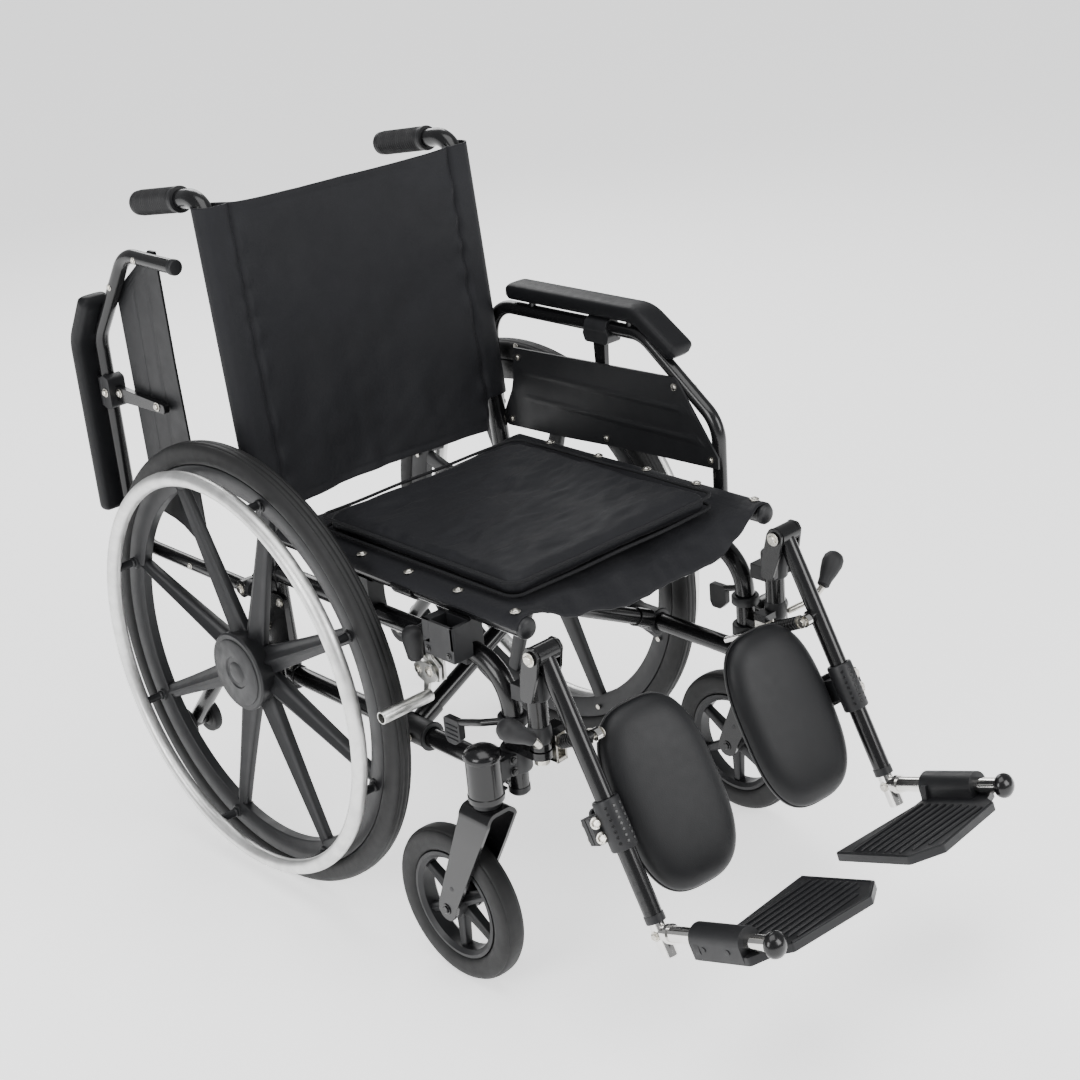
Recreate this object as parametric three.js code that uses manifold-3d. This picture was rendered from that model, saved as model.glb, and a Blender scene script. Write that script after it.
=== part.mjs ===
// A folding manual wheelchair with flip-back arms and elevating leg rests.
// Millimetres, +Z up. The chair faces -Y, its left side is +X, and it stands on Z = 0.
import * as THREE from "three";
import { mergeVertices } from "three/addons/utils/BufferGeometryUtils.js";
import { ConvexGeometry } from "three/addons/geometries/ConvexGeometry.js";
import Module from "manifold-3d";

const wasm = await Module();
wasm.setup();

// ---- Driving dimensions. Depths (Y) are measured from the rear axle, heights (Z) from the ground. ----
const AXLE_Y = 258.6; // from the middle of the footprint back to the rear axle
const FRAME_X = 204; // half the distance between the two side frames
const TUBE_R = 12.5; // frame tube
const GAP = 0.3; // between pieces that touch
const RUN = 0.6; // round what turns

const WHEEL = { r: 305, x: 256.5, rim: 278, rimInner: 247, half: 15, spokes: 8, firstSpoke: 19 };
const HANDRIM = { r: 267.8, tube: 10, out: 41 };
const CASTER = { r: 100.7, x: 254.6, y: -378.9, half: 16, rim: 70, stemY: -447.5, spokes: 6 };

const UPPER_Z = 421; // upper side tube
const LOWER_Z = 275; // lower side tube
const ROUND = 40; // flats round a rear wheel
const RAIL_Z = 478; // seat rail
const FRONT_Y = -448; // front post of the side frame
const BACK_Y = -9; // rear upright
const CANE_TOP = { y: 42, z: 903 };
const GRIP_END = { y: 199, z: 883 };

const ARM = { x: 230, tube: 9.5, pivotY: 31, pivotZ: 399, topZ: 668, footY: -390, footZ: 452 };
const HANGER = { x: 207, y: -496, low: 331, top: 432 };
const LEG = { y: -514, z: 457, endY: -663, endZ: 170, r: 11 };
const FOOT = { y: -671, z: 158, rise: 19.4, r: 9.5 };
const BRACE = { strut: 11, y: -270, apart: 13, sleeve: 19 };
const ANTI_TIP = { y: 262, z: 114, r: 25 };
const LOCK = { x: 226, y: -337, z: 389 };
const PAD = { width: 138, height: 228, thick: 24, along: 205 };

const deg = THREE.MathUtils.degToRad;
const V = (x, y, z) => new THREE.Vector3(x, y, z);

// ---- Turning geometry into solids and back ----

// Six times the volume that a closed surface holds; it is negative when the faces point in.
function holds(points, index) {
  let total = 0;
  for (let i = 0; i < index.length; i += 3) {
    const [a, b, c] = [0, 1, 2].map((k) => new THREE.Vector3().fromArray(points, 3 * index[i + k]));
    total += a.dot(b.cross(c));
  }
  return total;
}

// A three.js geometry as a solid that can be joined and cut, with its faces pointing out.
function solid(geometry) {
  geometry.deleteAttribute("normal");
  geometry.deleteAttribute("uv");
  const merged = mergeVertices(geometry, 1e-4);
  const vertProperties = merged.attributes.position.array;
  const triVerts = Uint32Array.from(merged.index.array);
  if (holds(vertProperties, triVerts) < 0) {
    triVerts.reverse();
  }
  return new wasm.Manifold(new wasm.Mesh({ numProp: 3, vertProperties, triVerts }));
}

// A solid as a geometry, for a mesh.
function geometryOf(piece) {
  const mesh = piece.getMesh();
  const geometry = new THREE.BufferGeometry();
  geometry.setAttribute("position", new THREE.BufferAttribute(mesh.vertProperties, 3));
  geometry.setIndex(new THREE.BufferAttribute(mesh.triVerts, 1));
  geometry.computeVertexNormals();
  return geometry;
}

const join = (...pieces) => pieces.reduce((all, piece) => all.add(piece));
const cut = (piece, ...tools) => tools.reduce((rest, tool) => rest.subtract(tool), piece);

// The same solid on the other side of the chair.
function mirrored(geometry) {
  const copy = geometry.clone().scale(-1, 1, 1);
  const index = copy.index.array;
  for (let i = 0; i < index.length; i += 3) {
    [index[i], index[i + 1]] = [index[i + 1], index[i]];
  }
  copy.computeVertexNormals();
  return copy;
}

// ---- Shapes that repeat ----

// A route of straight runs whose corners are rounded, kept as the points where it turns.
class Route extends THREE.Curve {
  constructor(corners, bend, turns) {
    super();
    this.points = [corners[0]];
    for (let i = 1; i < corners.length - 1; i += 1) {
      const [before, corner, after] = corners.slice(i - 1, i + 2);
      const into = corner.clone().sub(before).normalize();
      const out = after.clone().sub(corner).normalize();
      const half = into.angleTo(out) / 2;
      const reach = bend * Math.tan(half);
      const start = corner.clone().addScaledVector(into, -reach);
      const side = out.clone().addScaledVector(into, -out.dot(into)).normalize();
      for (let k = 0; k <= turns; k += 1) {
        const angle = (2 * half * k) / turns;
        const point = start.clone().addScaledVector(into, bend * Math.sin(angle));
        this.points.push(point.addScaledVector(side, bend * (1 - Math.cos(angle))));
      }
    }
    this.points.push(corners.at(-1));
  }
  get steps() {
    return this.points.length - 1;
  }
  getPoint(t, target = new THREE.Vector3()) {
    const at = Math.min(t * this.steps, this.steps - 1e-9);
    const i = Math.floor(at);
    return target.lerpVectors(this.points[i], this.points[i + 1], at - i);
  }
  getPointAt(u, target) {
    return this.getPoint(u, target);
  }
  getTangentAt(u, target = new THREE.Vector3()) {
    const i = Math.round(u * this.steps);
    const before = this.points[Math.max(i - 1, 0)];
    const here = this.points[i];
    const after = this.points[Math.min(i + 1, this.steps)];
    const into = here.clone().sub(before).normalize();
    const out = after.clone().sub(here).normalize();
    return target.copy(into).add(out).normalize();
  }
}

function ring(r, sides) {
  const points = [];
  for (let i = 0; i < sides; i += 1) {
    const angle = (2 * Math.PI * (i + 0.5)) / sides;
    points.push(new THREE.Vector2(r * Math.cos(angle), r * Math.sin(angle)));
  }
  return new THREE.Shape(points);
}

// A round bar along a route.
function tube(corners, r, { bend = 0, turns = 4, sides = 12 } = {}) {
  const route = new Route(corners, bend, turns);
  const section = ring(r, sides);
  return solid(new THREE.ExtrudeGeometry(section, { steps: route.steps, extrudePath: route }));
}

// A cutting bar along Y, X or Z, whose flats clear a round bar of radius r.
const bore = (from, to, r, sides = 12) => tube([from, to], r / Math.cos(Math.PI / sides), { sides });

// A box from its lowest to its highest corner.
function box(low, high) {
  const size = high.clone().sub(low);
  const block = new THREE.BoxGeometry(size.x, size.y, size.z);
  block.translate(...low.clone().add(high).multiplyScalar(0.5).toArray());
  return solid(block);
}

// A solid of revolution about X: the profile is [x, r] pairs.
function turned(profile, segments, { closed = false } = {}) {
  const points = profile.map(([x, r]) => new THREE.Vector2(r, x));
  if (closed) {
    points.push(points[0].clone());
  }
  const lathe = new THREE.LatheGeometry(points, segments);
  lathe.rotateZ(-Math.PI / 2);
  return solid(lathe);
}

// A plate lying in a YZ plane from x0 to x1, with its outline given as [y, z] pairs.
function plate(outline, x0, x1) {
  const shape = new THREE.Shape(outline.map(([y, z]) => new THREE.Vector2(y, z)));
  const slab = new THREE.ExtrudeGeometry(shape, { depth: x1 - x0, bevelEnabled: false });
  // The outline's axes (x, y) become (Y, Z), and the extrusion runs along X.
  slab.applyMatrix4(new THREE.Matrix4().set(0, 0, 1, x0, 1, 0, 0, 0, 0, 1, 0, 0, 0, 0, 0, 1));
  return solid(slab);
}

const hull = (points) => solid(new ConvexGeometry(points));

// The same solid turned about X and then moved.
function moved(piece, angle, at) {
  const matrix = new THREE.Matrix4().makeRotationX(angle).setPosition(at);
  return solid(geometryOf(piece).applyMatrix4(matrix));
}

// ---- Rear wheel, about its axle at the tyre's middle plane; +X is outboard ----

function spokes(count, first, inner, outer) {
  const made = [];
  for (let i = 0; i < count; i += 1) {
    const angle = deg(first) + (2 * Math.PI * i) / count;
    const points = [];
    for (const { r, half, back, flat, crest } of [inner, outer]) {
      const section = [[-half, back], [half, back], [half, flat], [0, crest], [-half, flat]];
      for (const [across, x] of section) {
        const y = r * Math.cos(angle) - across * Math.sin(angle);
        const z = r * Math.sin(angle) + across * Math.cos(angle);
        points.push(V(x, y, z));
      }
    }
    made.push(hull(points));
  }
  return made;
}

function rearWheel() {
  const rim = turned([[-10, WHEEL.rim - GAP], [-11, 262], [-7, WHEEL.rimInner], [7, WHEEL.rimInner],
    [11, 262], [10, WHEEL.rim - GAP]], ROUND, { closed: true });
  const boreR = 7 + GAP;
  const hub = turned([[-20, boreR], [-20, 24], [-12, 44], [16, 44], [26, 55], [32, 53], [32, boreR]], 24,
    { closed: true });
  const arms = spokes(WHEEL.spokes, WHEEL.firstSpoke,
    { r: 40, half: 17, back: -9, flat: 5, crest: 14 },
    { r: 252, half: 11, back: -7, flat: 3, crest: 8 });
  return join(rim, ...arms, hub).subtract(bore(V(-60, 0, 0), V(60, 0, 0), boreR));
}

const rearTyre = () => turned([[-9, WHEEL.rim], [-WHEEL.half, 285], [-13, 298], [-5, WHEEL.r],
  [5, WHEEL.r], [13, 298], [WHEEL.half, 285], [9, WHEEL.rim]], ROUND, { closed: true });

// The push ring and its eight stand-offs, which reach to the rim.
function handrim() {
  const torus = new THREE.TorusGeometry(HANDRIM.r, HANDRIM.tube, 8, ROUND);
  torus.rotateY(Math.PI / 2);
  torus.translate(HANDRIM.out, 0, 0);
  const pegs = [];
  for (let i = 0; i < WHEEL.spokes; i += 1) {
    const angle = deg(WHEEL.firstSpoke) + (2 * Math.PI * i) / WHEEL.spokes;
    const y = 264 * Math.cos(angle);
    const z = 264 * Math.sin(angle);
    pegs.push(tube([V(11.6, y, z), V(HANDRIM.out, y, z)], 5, { sides: 8 }));
  }
  return join(solid(torus), ...pegs);
}

// ---- Caster: wheel with its tyre, fork with stem and axle, housing clamped on the frame ----

function casterWheel() {
  const band = turned([[-12, CASTER.rim], [-CASTER.half, 84], [-14, 95], [-5, CASTER.r],
    [5, CASTER.r], [14, 95], [CASTER.half, 84], [12, CASTER.rim]], 30, { closed: true });
  const boreR = 5 + GAP;
  const hub = turned([[-17, boreR], [-17, 16], [17, 16], [17, boreR]], 16, { closed: true });
  const arm = { half: 6, back: -7, flat: 5, crest: 8 };
  const arms = spokes(CASTER.spokes, 30, { ...arm, r: 12 }, { ...arm, r: CASTER.rim + 3 });
  return join(band, ...arms, hub).subtract(bore(V(-30, 0, 0), V(30, 0, 0), boreR));
}

// The fork is one strip bent over the wheel; the origin is on the swivel axis at the ground.
function casterFork() {
  const trail = CASTER.y - CASTER.stemY;
  const crown = 262;
  const outline = [[-24, crown], [-24, crown - 12]];
  for (let i = 0; i <= 6; i += 1) {
    const angle = deg(205 + i * 30);
    outline.push([trail + 16 * Math.cos(angle), CASTER.r + 16 * Math.sin(angle)]);
  }
  outline.push([26, crown - 12], [26, crown]);
  const inside = box(V(-19, -60, 40), V(19, 140, crown - 6));
  const strip = cut(plate(outline, -24, 24), inside);
  const axle = tube([V(-24, trail, CASTER.r), V(24, trail, CASTER.r)], 5);
  const stem = tube([V(0, 0, crown - 3), V(0, 0, 318)], 8);
  return join(strip, axle, stem);
}

function casterHousing() {
  const y = CASTER.stemY;
  const drum = new THREE.LatheGeometry([[0, 268], [21, 268], [22, 271], [22, 325], [19, 333], [11, 337.5],
    [0, 339]].map(([r, z]) => new THREE.Vector2(r, z)), 20);
  drum.rotateX(Math.PI / 2);
  drum.translate(CASTER.x, y, 0);
  const clamp = box(V(190.5, y - 20, 289), V(240, y + 20, 316));
  const ribs = box(V(224, y - 12, 274), V(236, y + 12, 322));
  return cut(join(solid(drum), clamp, ribs),
    bore(V(CASTER.x, y, 200), V(CASTER.x, y, 320), 8 + RUN),
    bore(V(FRAME_X, FRONT_Y, 200), V(FRAME_X, FRONT_Y, 400), TUBE_R + GAP));
}

// ---- Side frame: loop of tube, rear upright and back cane in one, axle plate, pivot lugs ----

const railCut = () => bore(V(FRAME_X, -600, RAIL_Z), V(FRAME_X, 0, RAIL_Z), TUBE_R + GAP);

// The rear upright runs up into the back cane and bends back into the push handle.
const caneCorners = () => [
  V(FRAME_X, BACK_Y, 258),
  V(FRAME_X, 1, 470),
  V(FRAME_X - 2, CANE_TOP.y, CANE_TOP.z + 4),
  V(FRAME_X - 4, GRIP_END.y - 8, GRIP_END.z + 1),
];

function sideFrame() {
  const x = FRAME_X;
  const cane = tube(caneCorners(), TUBE_R, { bend: 32, turns: 5 });
  const hoop = tube([V(x, BACK_Y + 6, UPPER_Z), V(x, FRONT_Y, UPPER_Z), V(x, FRONT_Y, 262)], TUBE_R,
    { bend: 60, turns: 5 });
  const lower = tube([V(x, BACK_Y, LOWER_Z), V(x, FRONT_Y, LOWER_Z)], TUBE_R);
  const axlePlate = plate([[-34, 290], [18, 290], [18, 398], [-34, 398]], x + 10, x + 17);
  const axle = tube([V(x + 14, 0, WHEEL.r), V(WHEEL.x + 29, 0, WHEEL.r)], 6.7);
  const armLug = plate([[-12, 372], [ARM.pivotY, 384], [ARM.pivotY + 14, 399], [ARM.pivotY, 414],
    [-8, 440]], x + 8, x + 15.5);
  const armPin = tube([V(x + 14, ARM.pivotY, ARM.pivotZ), V(ARM.x + 10.8, ARM.pivotY, ARM.pivotZ)], 5);
  const saddle = box(V(x - 12, -215, UPPER_Z), V(x + 12, -170, RAIL_Z - 9));
  const hangerLug = join(box(V(HANGER.x - 13, HANGER.y, 320), V(HANGER.x + 13, FRONT_Y, 329.5)),
    tube([V(HANGER.x, HANGER.y, 320), V(HANGER.x, HANGER.y, 329.5)], 13));
  const pinHole = bore(V(HANGER.x, HANGER.y, 300), V(HANGER.x, HANGER.y, 340), 6 + GAP);
  return cut(join(cane, hoop, lower, axlePlate, axle, armLug, armPin, saddle, hangerLug), pinHole, railCut());
}

// A ribbed rubber grip, closed at its end.
function pushGrip() {
  const [corner, end] = caneCorners().slice(-2);
  const along = end.clone().sub(corner).normalize();
  const start = corner.clone().addScaledVector(along, 52);
  const tip = end.clone().addScaledVector(along, 9);
  const sleeve = tube([start, tip], 17);
  const hole = bore(start.clone().addScaledVector(along, -30), end.clone().addScaledVector(along, GAP),
    TUBE_R + GAP);
  return cut(sleeve, hole);
}

// The block that holds the arm's front foot, clamped on the upper tube under the seat rail.
function railBlock() {
  const body = box(V(188, -405, 408), V(246, -352, 469));
  const socket = box(V(ARM.x - 12, -405 + 4, 438), V(ARM.x + 12, -352 - 12, 480));
  return cut(body, socket, railCut(),
    bore(V(FRAME_X, -300, UPPER_Z), V(FRAME_X, -388, UPPER_Z), TUBE_R + GAP),
    tube([V(FRAME_X, -352, UPPER_Z), V(FRAME_X, FRONT_Y, UPPER_Z), V(FRAME_X, FRONT_Y, 262)],
      (TUBE_R + GAP) / Math.cos(Math.PI / 12), { bend: 60, turns: 5 }));
}

function antiTipTube() {
  const x = FRAME_X;
  const route = [V(x, BACK_Y + TUBE_R + 1, LOWER_Z - 1), V(x, 130, LOWER_Z - 6), V(x, ANTI_TIP.y, ANTI_TIP.z)];
  const arm = tube(route, 11, { bend: 45 });
  const axleHole = bore(V(x - 20, ANTI_TIP.y, ANTI_TIP.z), V(x + 20, ANTI_TIP.y, ANTI_TIP.z), 4 + RUN);
  const tail = hull([[-11, -6], [11, -6], [-11, 10], [11, 10]].flatMap(([across, along]) => [
    V(x + across, ANTI_TIP.y + along, ANTI_TIP.z - 9),
    V(x + across, ANTI_TIP.y + along - 10, ANTI_TIP.z + 10),
  ]));
  return cut(join(arm, tail), axleHole);
}

// Two small wheels on one pin.
const antiTipWheels = () => turned([[-28, 0], [-28, 20], [-26, ANTI_TIP.r], [-15, ANTI_TIP.r], [-13, 20],
  [-13, 4], [13, 4], [13, 20], [15, ANTI_TIP.r], [26, ANTI_TIP.r], [28, 20], [28, 0]], 20);

// ---- Cross brace and seat rail: the left brace stands on the left lower tube and carries the right rail ----

function seatRail() {
  const bar = tube([V(FRAME_X, -488, RAIL_Z), V(FRAME_X, -30, RAIL_Z)], TUBE_R);
  return join(bar, tube([V(FRAME_X, -492, RAIL_Z), V(FRAME_X, -487, RAIL_Z)], 14));
}

function crossBrace(y) {
  const foot = V(FRAME_X, y, LOWER_Z);
  const head = V(-FRAME_X, y, RAIL_Z);
  const strut = tube([foot, head], BRACE.strut);
  const sleeve = tube([V(FRAME_X, BRACE.y - 24, LOWER_Z), V(FRAME_X, BRACE.y + 24, LOWER_Z)], BRACE.sleeve);
  const railBore = bore(V(-FRAME_X, -400, RAIL_Z), V(-FRAME_X, -100, RAIL_Z), TUBE_R + GAP);
  const lowerBore = bore(V(FRAME_X, -400, LOWER_Z), V(FRAME_X, -100, LOWER_Z), TUBE_R + GAP);
  return cut(join(strut, sleeve), railBore, lowerBore);
}

// ---- Armrest, about its rear pivot, in the position where it is down ----

const armAt = (y, z) => V(0, y - ARM.pivotY, z - ARM.pivotZ);

function armTube() {
  const loop = tube([armAt(ARM.pivotY, 386), armAt(ARM.pivotY, ARM.topZ), armAt(-267, ARM.topZ + 1),
    armAt(-392, 571), armAt(ARM.footY, ARM.footZ)], ARM.tube, { bend: 50, turns: 5 });
  const collar = tube([armAt(-172, ARM.topZ + 0.5), armAt(-212, ARM.topZ + 0.5)], 13.5);
  const post = tube([armAt(-190, ARM.topZ), armAt(-188, 531)], 8);
  const pinHole = bore(V(-20, 0, 0), V(20, 0, 0), 5 + GAP);
  const flat = box(V(-12, -20, -20), V(-8.8, 20, 20));
  return cut(join(loop, collar, post), pinHole, flat);
}

// The rest stands outboard, so that it clears the cane when the arm is turned back.
function armPad() {
  const outline = [[-14, 682.5], [-266, 682.5], [-320, 642], [-333, 648], [-328, 662], [-284, 699],
    [-262, 706], [-30, 704], [-14, 697]];
  return plate(outline.map(([y, z]) => [y - ARM.pivotY, z - ARM.pivotZ]), -12.4, 30);
}

// A moulded panel on the inner side of the arm's loop.
function armPanel() {
  const outline = [[-26, 616], [-333, 626], [-400, 530], [-399, 514], [-249, 509], [-120, 501], [-1, 497],
    [2, 520], [-20, 545]];
  return plate(outline.map(([y, z]) => [y - ARM.pivotY, z - ARM.pivotZ]), 217 - ARM.x, 220.2 - ARM.x);
}

// ---- Wheel lock: a plate clamped on the upper tube, and a lever with its shoe in front of the tyre ----

function wheelLock() {
  const clamp = box(V(188, -345, 406), V(218, -302, 436));
  const bracket = plate([[-350, 376], [-322, 372], [-318, 400], [-330, 430], [-330, 458], [-348, 462],
    [-351, 430], [-351.5, 396]], 216, 220.5);
  const pin = tube([V(218, LOCK.y, LOCK.z), V(232, LOCK.y, LOCK.z)], 4);
  return cut(join(clamp, bracket, pin),
    bore(V(FRAME_X, -400, UPPER_Z), V(FRAME_X, -200, UPPER_Z), TUBE_R + GAP), railCut());
}

function lockLever() {
  const arm = plate([[-10, -14], [10, -16], [16, -44], [24, -42], [18, -8], [18, 14], [16, 28], [6, 28],
    [0, 14], [-12, 6]], -5, 0);
  const knob = tube([V(9, 18, 14), V(9, 20, 54)], 13);
  const shoe = tube([V(-4, 15, -39), V(72, 15, -39)], 8);
  const pinHole = bore(V(-20, 0, 0), V(20, 0, 0), 4 + GAP);
  return cut(join(arm, knob, shoe), pinHole);
}

// The latch that lets a leg rest swing away: a collar on the front post, a bent strip and a thumb tab.
function releaseLever() {
  const collar = tube([V(FRAME_X, FRONT_Y, 346), V(FRAME_X, FRONT_Y, 358)], 18);
  const strip = tube([V(218, -440, 352), V(232, -420, 350), V(234, -380, 338)], 4, { bend: 15, sides: 8 });
  const tab = box(V(229, -390, 308), V(239, -362, 342));
  return cut(join(collar, strip, tab),
    bore(V(FRAME_X, FRONT_Y, 300), V(FRAME_X, FRONT_Y, 400), TUBE_R + GAP));
}

// ---- Leg rest: hinge pin, hanger, elevating tube with its lock rod, calf pad, foot tube and plate ----

function hangerPin() {
  const pin = tube([V(0, 0, 312), V(0, 0, 380)], 6);
  return join(pin, tube([V(0, 0, 312), V(0, 0, 319)], 9));
}

function hanger() {
  const post = tube([V(0, 0, HANGER.low), V(0, 0, HANGER.top)], TUBE_R);
  const sleeve = tube([V(0, 0, 396), V(0, 0, 430)], 17);
  const lean = LEG.y - HANGER.y;
  const cheeks = [-20, 15].map((x) => plate([[-12, 398], [6, 398], [2, 430], [lean + 12, LEG.z + 4],
    [lean + 6, LEG.z + 12], [lean - 6, LEG.z + 12], [lean - 12, LEG.z + 4], [lean - 8, 436]], x, x + 5));
  const web = box(V(-20, -14, 400), V(20, 4, 420));
  const bolt = tube([V(-24, lean, LEG.z), V(24, lean, LEG.z)], 5);
  const rest = box(V(-10, 8, 388), V(10, 31, 408));
  const block = box(V(-32, -9, 343), V(-6, 9, 353));
  const guard = cut(box(V(-31, -9, 307), V(-15, 9, 345)), box(V(-29, -20, 312), V(-17.5, 20, 342)));
  return cut(join(post, sleeve, ...cheeks, web, bolt, rest, block, guard),
    bore(V(0, 0, 300), V(0, 0, 381), 6 + GAP),
    bore(V(FRAME_X - HANGER.x, FRONT_Y - HANGER.y, 300), V(FRAME_X - HANGER.x, FRONT_Y - HANGER.y, 420),
      TUBE_R + GAP));
}

function heightLever() {
  const bar = tube([V(14, -8, 343), V(32, -34, 360), V(45, -40, 375)], 4, { bend: 12, sides: 8 });
  const grip = hull([...Array(8).keys()].flatMap((i) => {
    const angle = (2 * Math.PI * i) / 8;
    const axis = V(0.775, 0.16, 0.61);
    const across = V(0, 1, 0).addScaledVector(axis, -axis.y).normalize();
    const up = axis.clone().cross(across);
    return [[0, 8], [34, 14], [50, 8]].map(([along, r]) => V(45, -40, 375).addScaledVector(axis, along)
      .addScaledVector(across, r * Math.cos(angle)).addScaledVector(up, r * Math.sin(angle)));
  }));
  return join(bar, grip);
}

const legAt = (y, z) => V(0, y - LEG.y, z - LEG.z);
const legLean = Math.atan2(LEG.y - LEG.endY, LEG.z - LEG.endZ);

function legTube() {
  const head = tube([V(-14.5, 0, 0), V(14.5, 0, 0)], 12.5);
  const shank = tube([V(0, 0, 0), legAt(LEG.endY, LEG.endZ)], LEG.r);
  const lug = plate([[-56, -88], [-42, -88], [-38, -102], [-52, -104]], -16, -5);
  const pin = tube([V(-31, -50, -96), V(-6, -50, -96)], 3.5, { sides: 8 });
  return cut(join(head, shank, lug, pin), bore(V(-20, 0, 0), V(20, 0, 0), 5 + GAP));
}

// The rod slides through the hanger's guard; its eye turns on the leg tube's pin.
function lockRod() {
  const eye = tube([V(-4, 0, 0), V(4, 0, 0)], 8);
  const slope = Math.atan2(327.5 - (LEG.z - 96), HANGER.y - (LEG.y - 50));
  const rod = tube([V(0, 0, 0), V(0, 150 * Math.cos(slope), 150 * Math.sin(slope))], 4.5, { sides: 8 });
  return cut(join(eye, rod), bore(V(-20, 0, 0), V(20, 0, 0), 3.5 + GAP, 8));
}

// In the clamp's and the pad's own frame X is outboard, Z is up the tube, and -Y is the front.
function calfClamp() {
  const collar = tube([V(0, 0, -30), V(0, 0, 30)], 16);
  const ear = box(V(8, 4, -16), V(26, 26, 16));
  const arm = box(V(-14, 8, -14), V(10, 36, 14));
  const backPlate = box(V(-76, 29, -20), V(10, 36, 20));
  return cut(join(collar, ear, arm, backPlate), bore(V(0, 0, -60), V(0, 0, 60), LEG.r + GAP));
}

function calfPad() {
  const outline = [];
  const corners = 24;
  for (let i = 0; i < corners; i += 1) {
    const angle = (2 * Math.PI * i) / corners;
    const roundness = 2 / 2.9;
    const across = Math.sign(Math.cos(angle)) * Math.abs(Math.cos(angle)) ** roundness;
    const up = Math.sign(Math.sin(angle)) * Math.abs(Math.sin(angle)) ** roundness;
    outline.push(new THREE.Vector2((across * PAD.width) / 2, (up * PAD.height) / 2));
  }
  const section = new THREE.Shape(outline);
  const slab = new THREE.ExtrudeGeometry(section, { depth: PAD.thick, bevelEnabled: false });
  slab.rotateX(Math.PI / 2);
  slab.translate(-17.5 - PAD.width / 2, 28.5, 0);
  return solid(slab);
}

// In the foot tube's own frame -Y runs forward along the tube and Z stands off it.
function footTube() {
  const bar = tube([V(0, 0, 0), V(0, -172, 0)], FOOT.r);
  const knob = new THREE.LatheGeometry([[0, 0], [9, 0], [13.5, 5], [13.5, 12], [9, 18], [0, 20]]
    .map(([r, along]) => new THREE.Vector2(r, along)), 12);
  knob.rotateX(Math.PI);
  knob.translate(0, -166, 0);
  return join(bar, solid(knob));
}

function footElbow() {
  const along = V(0, LEG.endY - LEG.y, LEG.endZ - LEG.z).normalize();
  const start = V(0, LEG.endY - FOOT.y, LEG.endZ - FOOT.z).addScaledVector(along, 0.5);
  return tube([start, start.clone().addScaledVector(along, 42)], FOOT.r);
}

function footplate() {
  const outline = [[-177, -53], [-177, -164], [-141, -188], [-24, -174], [-13, -157], [15, -145], [15, -60],
    [-39, -66]];
  const shape = new THREE.Shape(outline.map(([x, y]) => new THREE.Vector2(x, y)));
  const slab = new THREE.ExtrudeGeometry(shape, { depth: 11, bevelEnabled: false });
  slab.translate(0, 0, -20.5);
  const sleeve = tube([V(0, -60, 0), V(0, -137, 0)], 17, { sides: 16 });
  const block = box(V(-17, -137, -20), V(15, -60, 0));
  return cut(join(solid(slab), sleeve, block), bore(V(0, 0, 0), V(0, -200, 0), FOOT.r + GAP));
}

// ---- Soft pieces, as plain solids ----

// The seat sling lies over both rails and sags between them.
function seatSling() {
  const half = 214;
  const rows = [];
  for (let i = 0; i <= 10; i += 1) {
    const x = -half + (2 * half * i) / 10;
    const inside = Math.max(0, 1 - (x / 186) ** 2);
    rows.push([x, RAIL_Z + TUBE_R + 1.2 - 13 * inside]);
  }
  const top = rows.map(([x, z]) => new THREE.Vector2(x, z + 2.5));
  const under = rows.map(([x, z]) => new THREE.Vector2(x, z)).reverse();
  const section = new THREE.Shape([...under, ...top]);
  const slab = new THREE.ExtrudeGeometry(section, { depth: 448, bevelEnabled: false });
  slab.rotateX(Math.PI / 2);
  slab.translate(0, -36, 0);
  return solid(slab);
}

const seatCushion = () => box(V(-190, -455, RAIL_Z + TUBE_R + 4.5), V(150, -93, RAIL_Z + TUBE_R + 30));

// The back rest hangs between the canes, in front of them. Between its sleeves it hangs lower.
function backRest() {
  const panel = (wide, low, high) => {
    const slab = new THREE.BoxGeometry(wide, 5, high - low);
    slab.translate(0, 0, (low + high) / 2 - 722);
    slab.rotateX(-Math.atan2(CANE_TOP.y - 1, CANE_TOP.z - 470));
    slab.translate(0, 6, 722);
    return solid(slab);
  };
  return join(panel(400, 547, 897), panel(330, 502, 560));
}

// ---- Finishes ----

function finish(color, roughness, metalness = 0) {
  return new THREE.MeshStandardMaterial({ color, roughness, metalness });
}
const blackGloss = () => finish(0x141416, 0.25, 0.3);
const mouldedBlack = () => finish(0x2d2d30, 0.6);
const rubber = () => finish(0x262625, 0.85);
const silver = () => finish(0xc9c9c6, 0.3, 0.9);
const vinyl = () => finish(0x3a3b3e, 0.55);
const cloth = () => finish(0x2f3036, 0.9);

// ---- Assembly ----

const chair = new THREE.Group();
const built = new THREE.Group();
built.position.y = AXLE_Y;
chair.add(built);

function add(name, geometry, material, group = built) {
  const mesh = new THREE.Mesh(geometry, material);
  mesh.name = name;
  group.add(mesh);
  return mesh;
}

// One piece on each side: the shape is the left one, and the right one is its mirror image.
function pair(name, piece, material, at = V(0, 0, 0), arrange = () => {}) {
  const left = geometryOf(piece);
  for (const [side, label] of [[1, "left"], [-1, "right"]]) {
    const mesh = add(`${name}_${label}`, side > 0 ? left : mirrored(left), material());
    mesh.position.set(side * at.x, at.y, at.z);
    arrange(mesh, side);
  }
}

pair("side_frame", sideFrame(), blackGloss);
pair("push_grip", pushGrip(), rubber);
pair("rail_block", railBlock(), mouldedBlack);
pair("anti_tip_tube", antiTipTube(), blackGloss);
pair("anti_tip_wheels", antiTipWheels(), rubber, V(FRAME_X, ANTI_TIP.y, ANTI_TIP.z));

const axleAt = V(WHEEL.x, 0, WHEEL.r);
pair("rear_wheel", rearWheel(), mouldedBlack, axleAt);
pair("rear_tyre", rearTyre(), rubber, axleAt);
pair("handrim", handrim(), silver, axleAt);

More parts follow.
